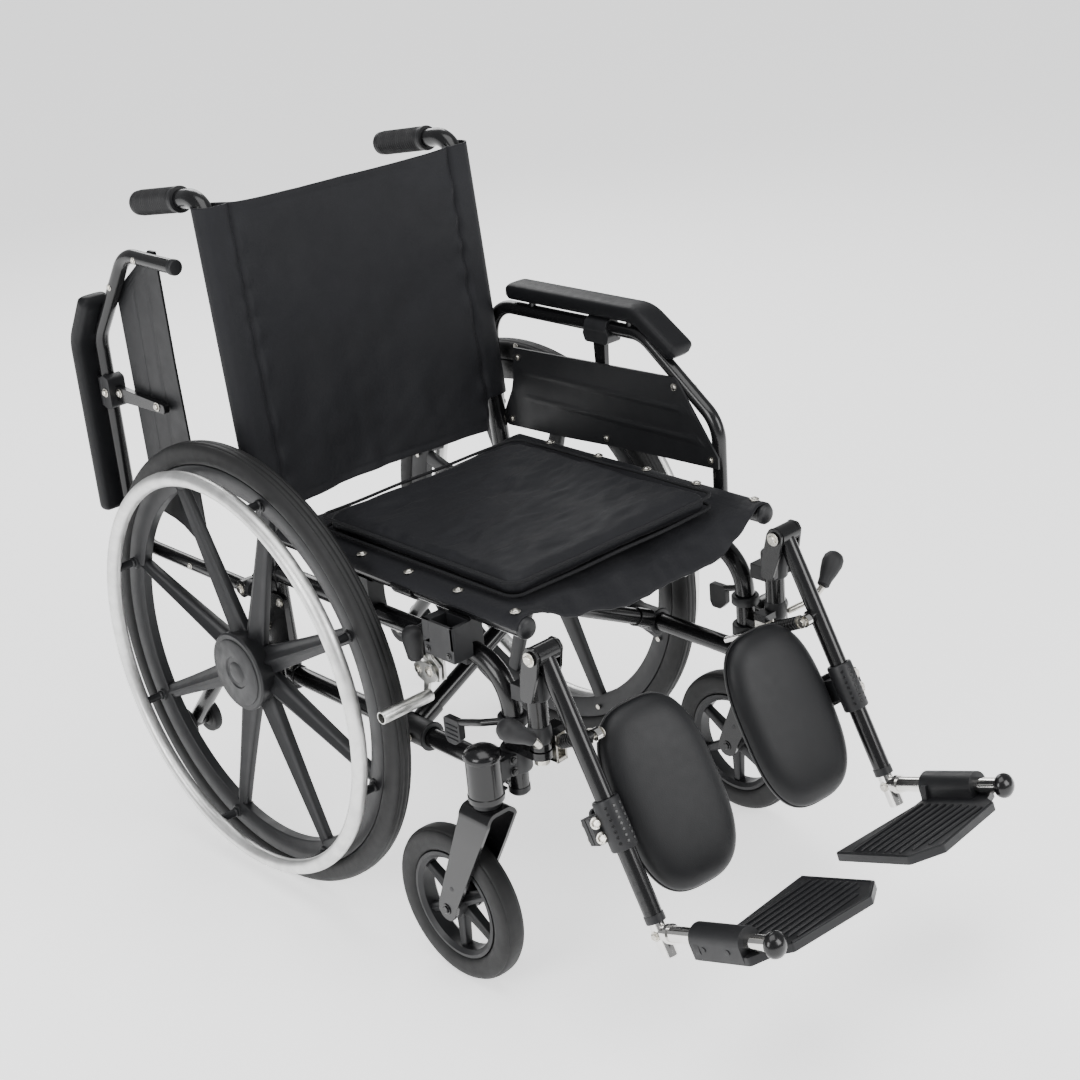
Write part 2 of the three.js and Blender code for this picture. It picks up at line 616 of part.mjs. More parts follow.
pair("caster_housing", casterHousing(), mouldedBlack);
pair("caster_fork", casterFork(), blackGloss, V(CASTER.x, CASTER.stemY, 0));
pair("caster_wheel", casterWheel(), rubber, V(CASTER.x, CASTER.y, CASTER.r));

pair("seat_rail", seatRail(), blackGloss);
const boltEnds = [V(0, BRACE.y - 32, 376.5), V(0, BRACE.y + 32, 376.5)];
const braceLeft = join(crossBrace(BRACE.y - BRACE.apart), tube(boltEnds, 5));
const braceRight = cut(crossBrace(BRACE.y + BRACE.apart), bore(...boltEnds, 5 + GAP));
add("cross_brace_left", geometryOf(braceLeft), blackGloss());
add("cross_brace_right", mirrored(geometryOf(braceRight)), blackGloss());

// The left armrest is down, and the right one is flipped back.
const armPivot = V(ARM.x, ARM.pivotY, ARM.pivotZ);
function setArm(mesh, side) {
  mesh.rotation.x = side < 0 ? -Math.PI / 2 : 0;
}
pair("arm_tube", armTube(), blackGloss, armPivot, setArm);
pair("arm_pad", armPad(), vinyl, armPivot, setArm);
pair("arm_panel", armPanel(), mouldedBlack, armPivot, setArm);

pair("wheel_lock", wheelLock(), silver);
pair("lock_lever", lockLever(), silver, V(LOCK.x, LOCK.y, LOCK.z));
pair("release_lever", releaseLever(), mouldedBlack);

const hangerAt = V(HANGER.x, HANGER.y, 0);
pair("hanger_pin", hangerPin(), silver, hangerAt);
pair("hanger", hanger(), blackGloss, hangerAt);
pair("height_lever", heightLever(), mouldedBlack, hangerAt);
pair("leg_tube", legTube(), blackGloss, V(HANGER.x, LEG.y, LEG.z));
pair("lock_rod", lockRod(), silver, V(HANGER.x - 23, LEG.y - 50, LEG.z - 96));

// Each calf pad has been left at its own angle round the leg tube.
const padTurn = { 1: -8, [-1]: -12 };
const clampAt = V(HANGER.x, LEG.y - PAD.along * Math.sin(legLean), LEG.z - PAD.along * Math.cos(legLean));
function setPad(mesh, side) {
  mesh.rotation.set(-legLean, 0, deg(padTurn[side]), "XYZ");
}
pair("calf_clamp", calfClamp(), mouldedBlack, clampAt, setPad);
pair("calf_pad", calfPad(), vinyl, clampAt, setPad);

const footAt = V(HANGER.x, FOOT.y, FOOT.z);
const chrome = join(moved(footTube(), deg(-FOOT.rise), V(0, 0, 0)), footElbow());
pair("foot_tube", chrome, silver, footAt);
pair("footplate", moved(footplate(), deg(-FOOT.rise), V(0, 0, 0)), mouldedBlack, footAt);

add("seat_sling", geometryOf(seatSling()), cloth());
add("seat_cushion", geometryOf(seatCushion()), cloth());
add("back_rest", geometryOf(backRest()), cloth());

export default chair;
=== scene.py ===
import math

import bmesh
import bpy
import numpy as np
from mathutils import Matrix, Vector


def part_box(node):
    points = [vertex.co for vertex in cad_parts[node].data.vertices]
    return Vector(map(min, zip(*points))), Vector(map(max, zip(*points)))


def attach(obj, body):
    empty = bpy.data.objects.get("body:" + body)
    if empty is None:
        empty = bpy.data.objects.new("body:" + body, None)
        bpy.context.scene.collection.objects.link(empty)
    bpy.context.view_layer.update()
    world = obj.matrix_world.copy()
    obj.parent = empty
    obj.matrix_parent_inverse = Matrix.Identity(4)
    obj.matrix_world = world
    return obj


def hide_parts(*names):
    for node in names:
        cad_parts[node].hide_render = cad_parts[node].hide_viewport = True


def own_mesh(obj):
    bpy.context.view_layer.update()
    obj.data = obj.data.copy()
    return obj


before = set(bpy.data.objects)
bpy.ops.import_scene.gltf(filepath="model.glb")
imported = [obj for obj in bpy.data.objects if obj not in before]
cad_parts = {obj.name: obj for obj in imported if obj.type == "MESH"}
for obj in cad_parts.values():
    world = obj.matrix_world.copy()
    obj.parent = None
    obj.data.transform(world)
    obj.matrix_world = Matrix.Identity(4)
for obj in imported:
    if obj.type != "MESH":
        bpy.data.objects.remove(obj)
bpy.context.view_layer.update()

SIDES = (("left", 1), ("right", -1))

# ---- Studio ----
# The chair stands on a pale seamless floor, seen from its right front and a little above.
# Large soft lamps stand over it, to its left and behind it, so the black tubes carry long highlights.
AZIMUTH, ELEVATION, ROLL = (math.radians(a) for a in (-41.58, 22.61, -5.02))
AIM = Vector((0.0375, 0.0089, 0.442))
DISTANCE = 2.4259
LENS = 62.96

back = Vector((math.sin(AZIMUTH) * math.cos(ELEVATION), -math.cos(AZIMUTH) * math.cos(ELEVATION),
               math.sin(ELEVATION)))
level = Vector((math.cos(AZIMUTH), math.sin(AZIMUTH), 0))
right = level * math.cos(ROLL) + back.cross(level) * math.sin(ROLL)
camera = bpy.data.objects.new("camera", bpy.data.cameras.new("camera"))
camera.data.lens = LENS
camera.data.sensor_width = 36
camera.matrix_world = Matrix((right, back.cross(right), back)).transposed().to_4x4()
camera.location = AIM + back * DISTANCE
bpy.context.scene.collection.objects.link(camera)
bpy.context.scene.camera = camera


def lamp(name, place, size, watts):
    """A square soft lamp that looks at the middle of the chair."""
    light = bpy.data.lights.new(name, "AREA")
    light.size = size
    light.energy = watts
    holder = bpy.data.objects.new(name, light)
    holder.location = place
    holder.rotation_euler = (AIM - Vector(place)).to_track_quat("-Z", "Y").to_euler()
    bpy.context.scene.collection.objects.link(holder)


lamp("lamp_over", (-0.3, -0.6, 3.2), 2.4, 60)
lamp("lamp_right", (-3.0, -0.4, 1.8), 1.6, 60)
lamp("lamp_front", (0.9, -3.3, 2.0), 1.8, 75)
lamp("lamp_back", (1.6, 2.6, 2.4), 1.8, 50)

world = bpy.data.worlds.new("studio")
world.use_nodes = True
sky = world.node_tree.nodes["Background"].inputs
sky["Color"].default_value = (0.97, 0.98, 1.0, 1)
sky["Strength"].default_value = 0.4
bpy.context.scene.world = world

floor_mesh = bpy.data.meshes.new("floor")
floor_mesh.from_pydata([(-30, -30, 0), (30, -30, 0), (30, 30, 0), (-30, 30, 0)], [], [(0, 1, 2, 3)])
floor = bpy.data.objects.new("floor", floor_mesh)
bpy.context.scene.collection.objects.link(floor)
paper = bpy.data.materials.new("paper")
paper.use_nodes = True
for socket, value in (("Base Color", (0.95, 0.95, 0.95, 1)), ("Emission Color", (1, 1, 1, 1)),
                      ("Emission Strength", 1.15), ("Roughness", 0.8)):
    paper.node_tree.nodes["Principled BSDF"].inputs[socket].default_value = value
floor_mesh.materials.append(paper)


# ---- Side frames ----
# Each side is one weldment of 25 mm steel tube, powder coated gloss black: a loop under the seat,
# and the rear upright that runs on as the back cane and bends back into the push handle.
# Lugs are welded on for the armrest and the leg rest, and a plate behind carries the axle.
def middle_of(node):
    """The middle of a node's box, in millimetres."""
    return [(low + high) * 500 for low, high in zip(*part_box(node))]


AXLE_X, AXLE_Y, AXLE_Z = middle_of("rear_tyre_left")
FRAME_X = middle_of("seat_rail_left")[0]
TUBE_R = 12.5
UPPER_Z, LOWER_Z = 421, 275
FRONT_Y, UPRIGHT_Y = -448, -9
RAIL_Z = 478


def finish(name, colour, rough, metal=0.0, drift=0.25, patch=0.05, grain=0.0006, relief=0.15, **constants):
    """A material whose colour and roughness drift in patches, over a skin of fine bumps.
    Colour and roughness are their base value times 1 plus or minus drift, by slow noise on the object;
    the height is quick noise, grain metres across."""
    material = bpy.data.materials.new(name)
    material.use_nodes = True
    nodes, links = material.node_tree.nodes, material.node_tree.links
    shader = nodes["Principled BSDF"]
    shader.inputs["Metallic"].default_value = metal
    for socket, value in constants.items():
        shader.inputs[socket.replace("_", " ")].default_value = value
    place = nodes.new("ShaderNodeTexCoord").outputs["Object"]

    def noise(size, detail):
        node = nodes.new("ShaderNodeTexNoise")
        node.inputs["Scale"].default_value = 1 / size
        node.inputs["Detail"].default_value = detail
        links.new(place, node.inputs["Vector"])
        return node.outputs["Fac"]

    ramp = nodes.new("ShaderNodeValToRGB")
    ramp.color_ramp.elements[0].position = 0.3
    ramp.color_ramp.elements[0].color = (*[c * (1 - drift) for c in colour], 1)
    ramp.color_ramp.elements[1].position = 0.7
    ramp.color_ramp.elements[1].color = (*[min(1, c * (1 + drift)) for c in colour], 1)
    links.new(noise(patch, 4), ramp.inputs["Fac"])
    links.new(ramp.outputs["Color"], shader.inputs["Base Color"])
    spread = nodes.new("ShaderNodeMapRange")
    spread.inputs["From Min"].default_value = 0.3
    spread.inputs["From Max"].default_value = 0.7
    spread.inputs["To Min"].default_value = rough * (1 - drift)
    spread.inputs["To Max"].default_value = min(1, rough * (1 + drift))
    links.new(noise(patch * 0.37, 5), spread.inputs["Value"])
    links.new(spread.outputs["Result"], shader.inputs["Roughness"])
    bump = nodes.new("ShaderNodeBump")
    bump.inputs["Strength"].default_value = relief
    bump.inputs["Distance"].default_value = grain / 2
    links.new(noise(grain, 2), bump.inputs["Height"])
    links.new(bump.outputs["Normal"], shader.inputs["Normal"])
    return material


enamel = finish("gloss_black_enamel", (0.005, 0.005, 0.0055), 0.24, drift=0.1, grain=0.0015, relief=0.04,
                Specular_IOR_Level=0.35, Coat_Weight=0.25, Coat_Roughness=0.06)
moulding = finish("moulded_black_nylon", (0.0105, 0.0108, 0.012), 0.46, drift=0.1, grain=0.0005, relief=0.22,
                  Specular_IOR_Level=0.4)
zinc = finish("zinc_plate", (0.60, 0.58, 0.53), 0.3, metal=1.0, patch=0.012, grain=0.0004, relief=0.1)


def skin(points, wrap_u=False, wrap_v=True):
    """A shell over a grid of points: four neighbours make a face, rows close on themselves when wrapped,
    and an open end of a wrapped grid gets one face over it."""
    rows, columns = points.shape[:2]
    index = np.arange(rows * columns).reshape(rows, columns)
    ends = [] if wrap_u or not wrap_v else [index[0][::-1].tolist(), index[-1].tolist()]
    if wrap_u:
        index = np.vstack([index, index[:1]])
    if wrap_v:
        index = np.hstack([index, index[:, :1]])
    corners = [index[:-1, :-1], index[:-1, 1:], index[1:, 1:], index[1:, :-1]]
    return points.reshape(-1, 3), np.stack(corners, -1).reshape(-1, 4).tolist() + ends


def route(corners, bend=0.0, turns=10, closed=False):
    """Straight runs with each corner rounded: the arc starts bend times tan(half the turn) before it."""
    corners = np.array(corners, float)
    count = len(corners)
    points = [] if closed else [corners[:1]]
    for i in range(count) if closed else range(1, count - 1):
        into, out = corners[i] - corners[i - 1], corners[(i + 1) % count] - corners[i]
        into, out = into / np.linalg.norm(into), out / np.linalg.norm(out)
        half = math.acos(np.clip(into @ out, -1, 1)) / 2
        if half < 1e-3:
            continue
        side = out - into * (out @ into)
        side /= np.linalg.norm(side)
        angle = np.linspace(0, 2 * half, turns + 1)[:, None]
        start = corners[i] - into * bend * math.tan(half)
        points.append(start + bend * (into * np.sin(angle) + side * (1 - np.cos(angle))))
    return np.vstack(points if closed else points + [corners[-1:]])


def directions(line):
    """Unit tangents along a line, and two unit normals: the first lies nearest a fixed axis of the chair."""
    along = np.gradient(line, axis=0)
    along /= np.linalg.norm(along, axis=1)[:, None]
    axis = np.eye(3)[np.argmin(np.abs(along).max(axis=0))]
    first = axis - along * (along @ axis)[:, None]
    first /= np.linalg.norm(first, axis=1)[:, None]
    return along, first, np.cross(along, first)


def circle(count):
    """Equal steps of angle round one turn, in radians."""
    return np.linspace(0, 2 * math.pi, count, endpoint=False)


def tube(line, radius, sides=24):
    """A round bar: a circle of the given radius, or one radius for each point, carried along a line."""
    line = np.array(line, float)
    _, first, second = directions(line)
    angle = circle(sides)[None, :, None]
    reach = np.broadcast_to(np.array(radius, float), len(line))[:, None, None]
    ring = np.cos(angle) * first[:, None] + np.sin(angle) * second[:, None]
    return skin(line[:, None] + reach * ring)


def bar(x, reach, y, z, radius, sides=24):
    """A round bar across the chair, of the given reach to either side of x."""
    return tube([(x - reach, y, z), (x + reach, y, z)], radius, sides)


def turned(profile, centre, axis=(1, 0, 0), sides=48, closed=False):
    """A turned piece: pairs of (distance along the axis, radius) swept round the axis through centre."""
    profile = np.array(profile, float)
    axis = np.array(axis, float) / np.linalg.norm(axis)
    first = np.cross(axis, np.eye(3)[np.argmin(np.abs(axis))])
    first /= np.linalg.norm(first)
    angle = circle(sides)[None, :, None]
    ring = np.cos(angle) * first + np.sin(angle) * np.cross(axis, first)
    points = np.array(centre, float) + profile[:, :1, None] * axis + profile[:, 1:, None] * ring
    return skin(points, wrap_u=closed)


def plate(outline, low, high, axis=0, corner=0.0):
    """A flat plate: its outline, in the two directions across axis, runs from low to high along axis."""
    flat = np.array(outline, float)
    flat = np.insert(flat, axis, 0.0, axis=1)
    if corner:
        flat = route(flat, corner, 5, closed=True)
    sheets = np.stack([flat, flat])
    sheets[0, :, axis], sheets[1, :, axis] = low, high
    return skin(sheets)


def block(low, high):
    """A box between two opposite corners."""
    (x0, y0, z0), (x1, y1, z1) = low, high
    return plate([(y0, z0), (y1, z0), (y1, z1), (y0, z1)], x0, x1)


def bolt(at, axis, radius, height=4.0, sides=6):
    """A hexagon head with a chamfered top, on its washer; axis points out of the surface."""
    washer = [(0, 0.1), (0, radius * 1.45), (1.2, radius * 1.45), (1.2, radius * 0.9)]
    head = [(1.0, 0.1), (1.0, radius), (height * 0.8, radius), (height, radius * 0.82), (height, 0.1)]
    return [(turned(washer + [(1.2, 0.1)], at, axis, 20), zinc), (turned(head, at, axis, sides), zinc)]


def piece(name, shells, body, stands_for=(), side=1, bevel=0.0, sharp=38):
    """Joins shells, given in millimetres with depths counted from the rear axle, into one object in metres.
    It is mirrored to its side, each shell keeps its finish, and edges sharper than `sharp` stay crisp."""
    finishes = list(dict.fromkeys(material for _, material in shells))
    places, faces, paints, start = [], [], [], 0
    for (points, polygons), material in shells:
        places.append(points)
        faces += [[start + i for i in polygon] for polygon in polygons]
        paints += [finishes.index(material)] * len(polygons)
        start += len(points)
    places = np.vstack(places)
    places[:, 1] += AXLE_Y
    mesh = bpy.data.meshes.new(name)
    mesh.from_pydata(places * (0.001 * side, 0.001, 0.001), [], faces)
    for material in finishes:
        mesh.materials.append(material)
    mesh.polygons.foreach_set("material_index", paints)
    made = bmesh.new()
    made.from_mesh(mesh)
    bmesh.ops.remove_doubles(made, verts=made.verts, dist=1e-7)
    bmesh.ops.recalc_face_normals(made, faces=made.faces)
    made.to_mesh(mesh)
    made.free()
    mesh.shade_smooth()
    mesh.set_sharp_from_angle(angle=math.radians(sharp))
    thing = bpy.data.objects.new(name, mesh)
    bpy.context.scene.collection.objects.link(thing)
    if bevel:
        edge = thing.modifiers.new("edges", "BEVEL")
        edge.width = bevel * 0.001
        edge.segments = 2
        edge.limit_method = "ANGLE"
        edge.angle_limit = math.radians(50)
        edge.harden_normals = True
    if stands_for:
        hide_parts(*stands_for)
    if body:
        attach(thing, body)
    return thing


CANE = [(FRAME_X, UPRIGHT_Y, 258), (FRAME_X, 1, 470), (FRAME_X - 2, 42, 907), (FRAME_X - 4, 191, 884)]

for label, side in SIDES:
    x = FRAME_X
    hoop = route([(x, UPRIGHT_Y + 6, UPPER_Z), (x, FRONT_Y, UPPER_Z), (x, FRONT_Y, 262)], 60, 14)
    shells = [
        (tube(route(CANE, 32, 12), TUBE_R, 28), enamel),
        (tube(hoop, TUBE_R, 28), enamel),
        (tube([(x, UPRIGHT_Y, LOWER_Z), (x, FRONT_Y, LOWER_Z)], TUBE_R, 28), enamel),
        (tube([(x + 14, 0, AXLE_Z), (AXLE_X + 29, 0, AXLE_Z)], 6.7), zinc),
        (tube([(x + 14, 31, 399), (240.8, 31, 399)], 5), zinc),
        (plate([(-34, 290), (18, 290), (18, 398), (-34, 398)], x + 10, x + 17, corner=8), enamel),
        (plate([(-12, 372), (31, 384), (45, 399), (31, 414), (-8, 440)], x + 8, x + 15.5, corner=4), enamel),
        (block((194, -496, 320), (220, FRONT_Y, 329.5)), enamel),
        (tube([(207, -496, 320), (207, -496, 329.5)], 13, 32), enamel),
    ]
    # The saddle that the seat rail drops into is a moulded hook on the upper tube.
    bowl = [(x + 14.5 * math.cos(a), RAIL_Z - 14.5 * math.sin(a)) for a in np.linspace(0.55, math.pi - 0.55, 12)]
    neck = [(x - 12.4, 440), (x - 14.5, 421), (x - 9, 409), (x + 9, 409), (x + 14.5, 421), (x + 12.4, 440)]
    shells.append((plate(bowl + neck, -215, -170, axis=1), moulding))
    # Closed tube ends, the beads of weld where tubes meet, and the bolts of the axle plate.
    for y in (UPRIGHT_Y, FRONT_Y):
        shells.append((turned([(-8, 0.1), (-7, 10.5), (-4, 13.2), (3, 13.2), (3, 0.1)], (x, y, 262), (0, 0, 1)),
                       moulding))
    for y, z, axis in ((UPRIGHT_Y - 11.5, LOWER_Z, (0, 1, 0)), (FRONT_Y + 11.5, LOWER_Z, (0, 1, 0)),
                       (-14, UPPER_Z, (0, 1, 0))):
        shells.append((turned([(-2.5, 12), (-1.5, 13.8), (1.5, 13.8), (2.5, 12)], (x, y, z), axis), enamel))
    for y, z in ((-26, 300), (-26, 388), (10, 388), (10, 346)):
        shells += bolt((x + 17, y, z), (1, 0, 0), 4.2, 4.5)
    shells += bolt((240.8, 31, 399), (1, 0, 0), 5.5, 4)
    shells += bolt((x - 14, -192, 428), (-1, 0, 0), 3.4, 3)
    piece(f"frame_{label}", shells, f"{label}_frame", [f"side_frame_{label}"], side, bevel=0.8)


# ---- Push grips ----
# A soft black rubber sleeve is pushed on each handle. It has fine rings to hold by and a domed end.
rubber = finish("grip_rubber", (0.011, 0.011, 0.012), 0.55, drift=0.1, grain=0.0007, relief=0.3,
                Specular_IOR_Level=0.35)

for label, side in SIDES:
    bend_at, end = np.array(CANE[2], float), np.array(CANE[3], float)
    along = (end - bend_at) / np.linalg.norm(end - bend_at)
    length = np.linalg.norm(end - bend_at) + 9 - 52
    s = np.linspace(0, length, 170)
    # Radius: 16.3 mm, a raised collar over the first 8 mm, and rings 4.6 mm apart that fade at both ends.
    ringed = 0.5 * (1 + np.tanh((s - 12) / 2)) * 0.5 * (1 - np.tanh((s - length + 12) / 2))
    radius = 15.9 + 0.75 * np.cos(2 * math.pi * s / 4.6) * ringed + 1.1 * np.exp(-((s - 3) / 4) ** 4)
    radius *= np.sqrt(np.clip(1 - ((s - length + 7) / 7.6).clip(0, 1) ** 2, 0.01, 1))
    shells = [(turned(np.column_stack([s, radius]), bend_at + along * 52, along, 40), rubber)]
    piece(f"grip_{label}", shells, f"{label}_frame", [f"push_grip_{label}"], side)


# ---- Rear wheels ----
# A 24 inch wheel moulded in one from glass-filled nylon: eight blade spokes with a raised spine run
# from a broad hub to the rim, and end in round bosses. Its solid tyre is stretched over the rim.
SPOKES, FIRST_SPOKE = 8, math.radians(19)
HUB = (AXLE_X, 0, AXLE_Z)
tyre_rubber = finish("tyre_rubber", (0.0085, 0.0085, 0.0088), 0.6, drift=0.08, grain=0.0009, relief=0.3,
                      patch=0.03, Specular_IOR_Level=0.35)
hub_grey = finish("hub_grey", (0.013, 0.0133, 0.0145), 0.5, grain=0.0005, relief=0.2)


def ring_of(count, first, centre, make):
    """Copies of a shell round an X axis: make returns points as (out along the axis, radius, across)."""
    (points, faces), shells = make(), []
    for angle in first + 2 * math.pi * np.arange(count) / count:
        y = points[:, 1] * math.cos(angle) - points[:, 2] * math.sin(angle)
        z = points[:, 1] * math.sin(angle) + points[:, 2] * math.cos(angle)
        shells.append((np.column_stack([points[:, 0], y, z]) + np.array(centre, float), faces))
    return shells


def eased(wave, power):
    """A wave from -1 to 1 raised to a power with its sign kept: below 1 it squares off a circle."""
    return np.sign(wave) * np.abs(wave) ** power


def blade(inner, outer, steps=14):
    """A spoke: each section has a flat back, rounded edges and a spine, and its sizes change with radius.
    inner and outer give (radius, half width, back, face, spine)."""
    t = np.linspace(0, 1, steps)[:, None]
    narrowing = 1 - (1 - t) ** 1.6
    shares = (t, narrowing, t, t, t)
    radius, half, low, face, spine = (a + (b - a) * share for a, b, share in zip(inner, outer, shares))
    turn = circle(36)[None, :]
    across = half * eased(np.cos(turn), 0.55)
    lift = eased(np.sin(turn), 0.45)
    out = np.where(lift > 0, face * lift, low * -lift)
    out = out + np.where(lift > 0, (spine - face) * np.exp(-(across / (0.3 * half)) ** 4), 0)
    return skin(np.stack([out, np.broadcast_to(radius, out.shape), across], -1))


def tyre_profile(half, low, high, grooves, depth, count=72):
    """A tyre's section: a rounded block from radius low to high, less a narrow groove at each place."""
    turn = circle(count)
    middle, reach = (low + high) / 2, (high - low) / 2
    out = half * eased(np.cos(turn), 0.7)
    radius = middle + reach * eased(np.sin(turn), 0.7)
    for groove in grooves:
        radius -= depth * np.exp(-((out - groove) / 0.9) ** 2) * (radius > middle + 0.3 * reach)
    return np.column_stack([out, radius])


for label, side in SIDES:
    rim = [(-11, 276), (-12, 270), (-11, 262), (-7.5, 249), (-6, 247), (6, 247), (7.5, 249), (11, 262),
           (12, 270), (11, 276), (8, 277.6), (-8, 277.6)]
    hub = [(-20, 7.3), (-20, 22), (-18, 25), (-12, 44), (0, 50), (14, 50), (22, 54), (26, 54), (28.5, 52),
           (28.5, 7.3)]
    shells = [
        (turned(rim, HUB, sides=160, closed=True), moulding),
        (turned(hub, HUB, sides=64, closed=True), moulding),
    ]
    cap = [(28, 0.1), (28, 46), (29.5, 46), (30.8, 44), (30.8, 22), (29.2, 20.5), (29.2, 15), (30, 14),
           (31.4, 11), (31.8, 6), (31.8, 0.1)]
    shells.append((turned(cap, HUB, sides=72), hub_grey))
    for shell in ring_of(SPOKES, FIRST_SPOKE, HUB,
                         lambda: blade((40, 19, -9, 6, 15), (254, 10.5, -7, 5, 9))):
        shells.append((shell, moulding))
    boss = [(-8, 0.1), (-8, 8), (11, 8.5), (12.5, 8), (13, 7), (13, 0.1)]
    for shell in ring_of(SPOKES, FIRST_SPOKE, HUB, lambda: turned(boss, (0, 262.0, 0), sides=20)):
        shells.append((shell, moulding))
    dome = [(13, 0.1), (13, 4), (15, 3.6), (16, 2.2), (16, 0.1)]
    for shell in ring_of(SPOKES, FIRST_SPOKE, HUB, lambda: turned(dome, (-28, 262.0, 0), sides=14)):
        shells.append((shell, zinc))
    piece(f"wheel_{label}", shells, f"{label}_rear_wheel", [f"rear_wheel_{label}"], side,
          bevel=0.6)
    tread = tyre_profile(15, 275.5, 305, (-7, 0, 7), 1.1)
    shells = [(turned(tread, HUB, sides=200, closed=True), tyre_rubber)]
    piece(f"tyre_{label}", shells, f"{label}_rear_wheel", [f"rear_tyre_{label}"], side)


# ---- Push rims ----
# A 20 mm aluminium tube, rolled into a ring, anodised and brushed round its length. Eight black pegs with
# round feet hold it off the wheel's bosses.
anodised = finish("brushed_aluminium", (0.72, 0.72, 0.71), 0.42, metal=1.0, drift=0.12, patch=0.02,
                  grain=0.0008, relief=0.12, Anisotropic=0.4)

for label, side in SIDES:
    angle = circle(40)
    hoop = np.column_stack([41 + 9.9 * np.cos(angle), 267.8 + 9.9 * np.sin(angle)])
    shells = [(turned(hoop, HUB, sides=200, closed=True), anodised)]
    peg = [(13.2, 0.1), (13.2, 7), (15, 7), (16.5, 5.4), (33, 5.2), (36, 6.5), (38, 0.1)]
    for shell in ring_of(SPOKES, FIRST_SPOKE, HUB, lambda: turned(peg, (0, 264.0, 0), sides=18)):
        shells.append((shell, moulding))
    piece(f"push_rim_{label}", shells, f"{label}_rear_wheel", [f"handrim_{label}"], side)


# ---- Casters ----
# An 8 inch wheel with a solid tyre turns in a fork bent from one steel strip. The fork's stem turns in a
# moulded housing with a domed cap, which is clamped on the front post of the side frame.
CASTER_X, CASTER_Y, CASTER_Z = middle_of("caster_wheel_left")
CASTER_Y -= AXLE_Y
STEM_Y = -447.5


def fork_strip(crown, tip, half_gap, thick):
    """The bent strip: its middle line goes up one side, over the wheel and down the other.
    At height z below the crown it has moved back towards the axle, and narrowed, in step with the depth;
    round the axle its half width is that of a circle."""
    line = route([(half_gap, tip), (half_gap, crown), (-half_gap, crown), (-half_gap, tip)], 13, 8)
    extra = np.linspace(0, 1, 9)[:-1, None]
    line = np.vstack([line[0] + (line[1] - line[0]) * extra ** 2, line[1:-2],
                      (line[-1] + (line[-2] - line[-1]) * extra ** 2)[::-1]])
    depth = ((crown - 12 - line[:, 1]) / (crown - 12 - CASTER_Z)).clip(0, 1)
    middle = 1 + depth * (CASTER_Y - STEM_Y - 1)
    below = (CASTER_Z - line[:, 1]).clip(0, None)
    half = np.where(below > 0, np.sqrt((16 ** 2 - below ** 2).clip(4, None)), 25 - 9 * depth)
    slope = np.gradient(line, axis=0)
    slope /= np.linalg.norm(slope, axis=1)[:, None]
    normal = np.column_stack([slope[:, 1], -slope[:, 0]])
    rows = []
    for across, lift in ((-1, -1), (1, -1), (1, 1), (-1, 1)):
        place = line + normal * lift * thick / 2
        rows.append(np.column_stack([CASTER_X + place[:, 0], STEM_Y + middle + across * half, place[:, 1]]))
    return skin(np.stack(rows, 1))


for label, side in SIDES:
    post, stem = (FRAME_X, FRONT_Y, 0), (CASTER_X, STEM_Y, 0)
    up = (0, 0, 1)
    drum = [(268, 0.1), (268, 20), (269, 21.5), (272, 22), (276, 22), (277, 21), (322, 21), (323, 22.4),
            (327, 22.4), (331, 20.5), (335, 15), (338, 8), (339, 0.1)]
    sleeve = [(287, 12.8), (287, 17.5), (289, 18.5), (316, 18.5), (318, 17.5), (318, 12.8)]
    shells = [
        (turned(drum, stem, up, 48), enamel),
        (turned(sleeve, post, up, 40, closed=True), moulding),
        (block((205, STEM_Y - 15, 290), (245, STEM_Y + 15, 315)), moulding),
    ]
    rib = [(245, STEM_Y - 16), (245, STEM_Y + 16), (232, STEM_Y + 13), (232, STEM_Y - 13)]
    for lift in np.linspace(276, 318, 5):
        shells.append((plate(rib, lift, lift + 2.4, axis=2), moulding))
    for z in (295, 310):
        shells += [(head, enamel) for head, _ in bolt((222, STEM_Y - 15, z), (0, -1, 0), 4, 4)]
    piece(f"caster_housing_{label}_cover", shells, f"{label}_frame",
          [f"caster_housing_{label}"], side, bevel=0.7)

    shells = [
        (fork_strip(259, CASTER_Z - 15.6, 21.5, 5), enamel),
        (tube([(CASTER_X, STEM_Y, 256), (CASTER_X, STEM_Y, 318)], 8), zinc),
        (turned([(261.5, 8), (261.5, 17), (266.5, 17), (266.5, 8)], stem, up, 32, closed=True), moulding),
        (bar(CASTER_X, 24, CASTER_Y, CASTER_Z, 5, 16), zinc),
    ]
    for out in (-1, 1):
        nut = bolt((CASTER_X + 24 * out, CASTER_Y, CASTER_Z), (out, 0, 0), 5, 3.5)
        shells += [(head, enamel) for head, _ in nut]
        shells.append((turned([(0, 0.1), (0, 3), (0.4, 3), (0.4, 0.1)],
                              (CASTER_X + 24 * out, CASTER_Y - 14, CASTER_Z + 34), (out, 0, 0), 16), moulding))
    piece(f"caster_fork_{label}_strip", shells, f"{label}_caster_fork",
          [f"caster_fork_{label}"], side, bevel=0.8)

    at = (CASTER_X, CASTER_Y, CASTER_Z)
    rim = [(-13, 70.5), (-13.5, 66), (-9, 61), (9, 61), (13.5, 66), (13, 70.5)]
    hub = [(-17, 5.3), (-17, 14), (-15, 15.5), (15, 15.5), (17, 14), (17, 5.3)]
    shells = [
        (turned(tyre_profile(16, 69.5, 100.7, (-11, 11), 1.2), at, sides=120, closed=True), tyre_rubber),
        (turned(rim, at, sides=96, closed=True), moulding),
        (turned(hub, at, sides=40, closed=True), hub_grey),
    ]
    for shell in ring_of(6, math.radians(30), at, lambda: blade((11, 8, -9, 6, 10), (63, 6, -7, 5, 7), 8)):
        shells.append((shell, moulding))
    piece(f"caster_{label}", shells, f"{label}_caster_wheel", [f"caster_wheel_{label}"], side, bevel=0.4)


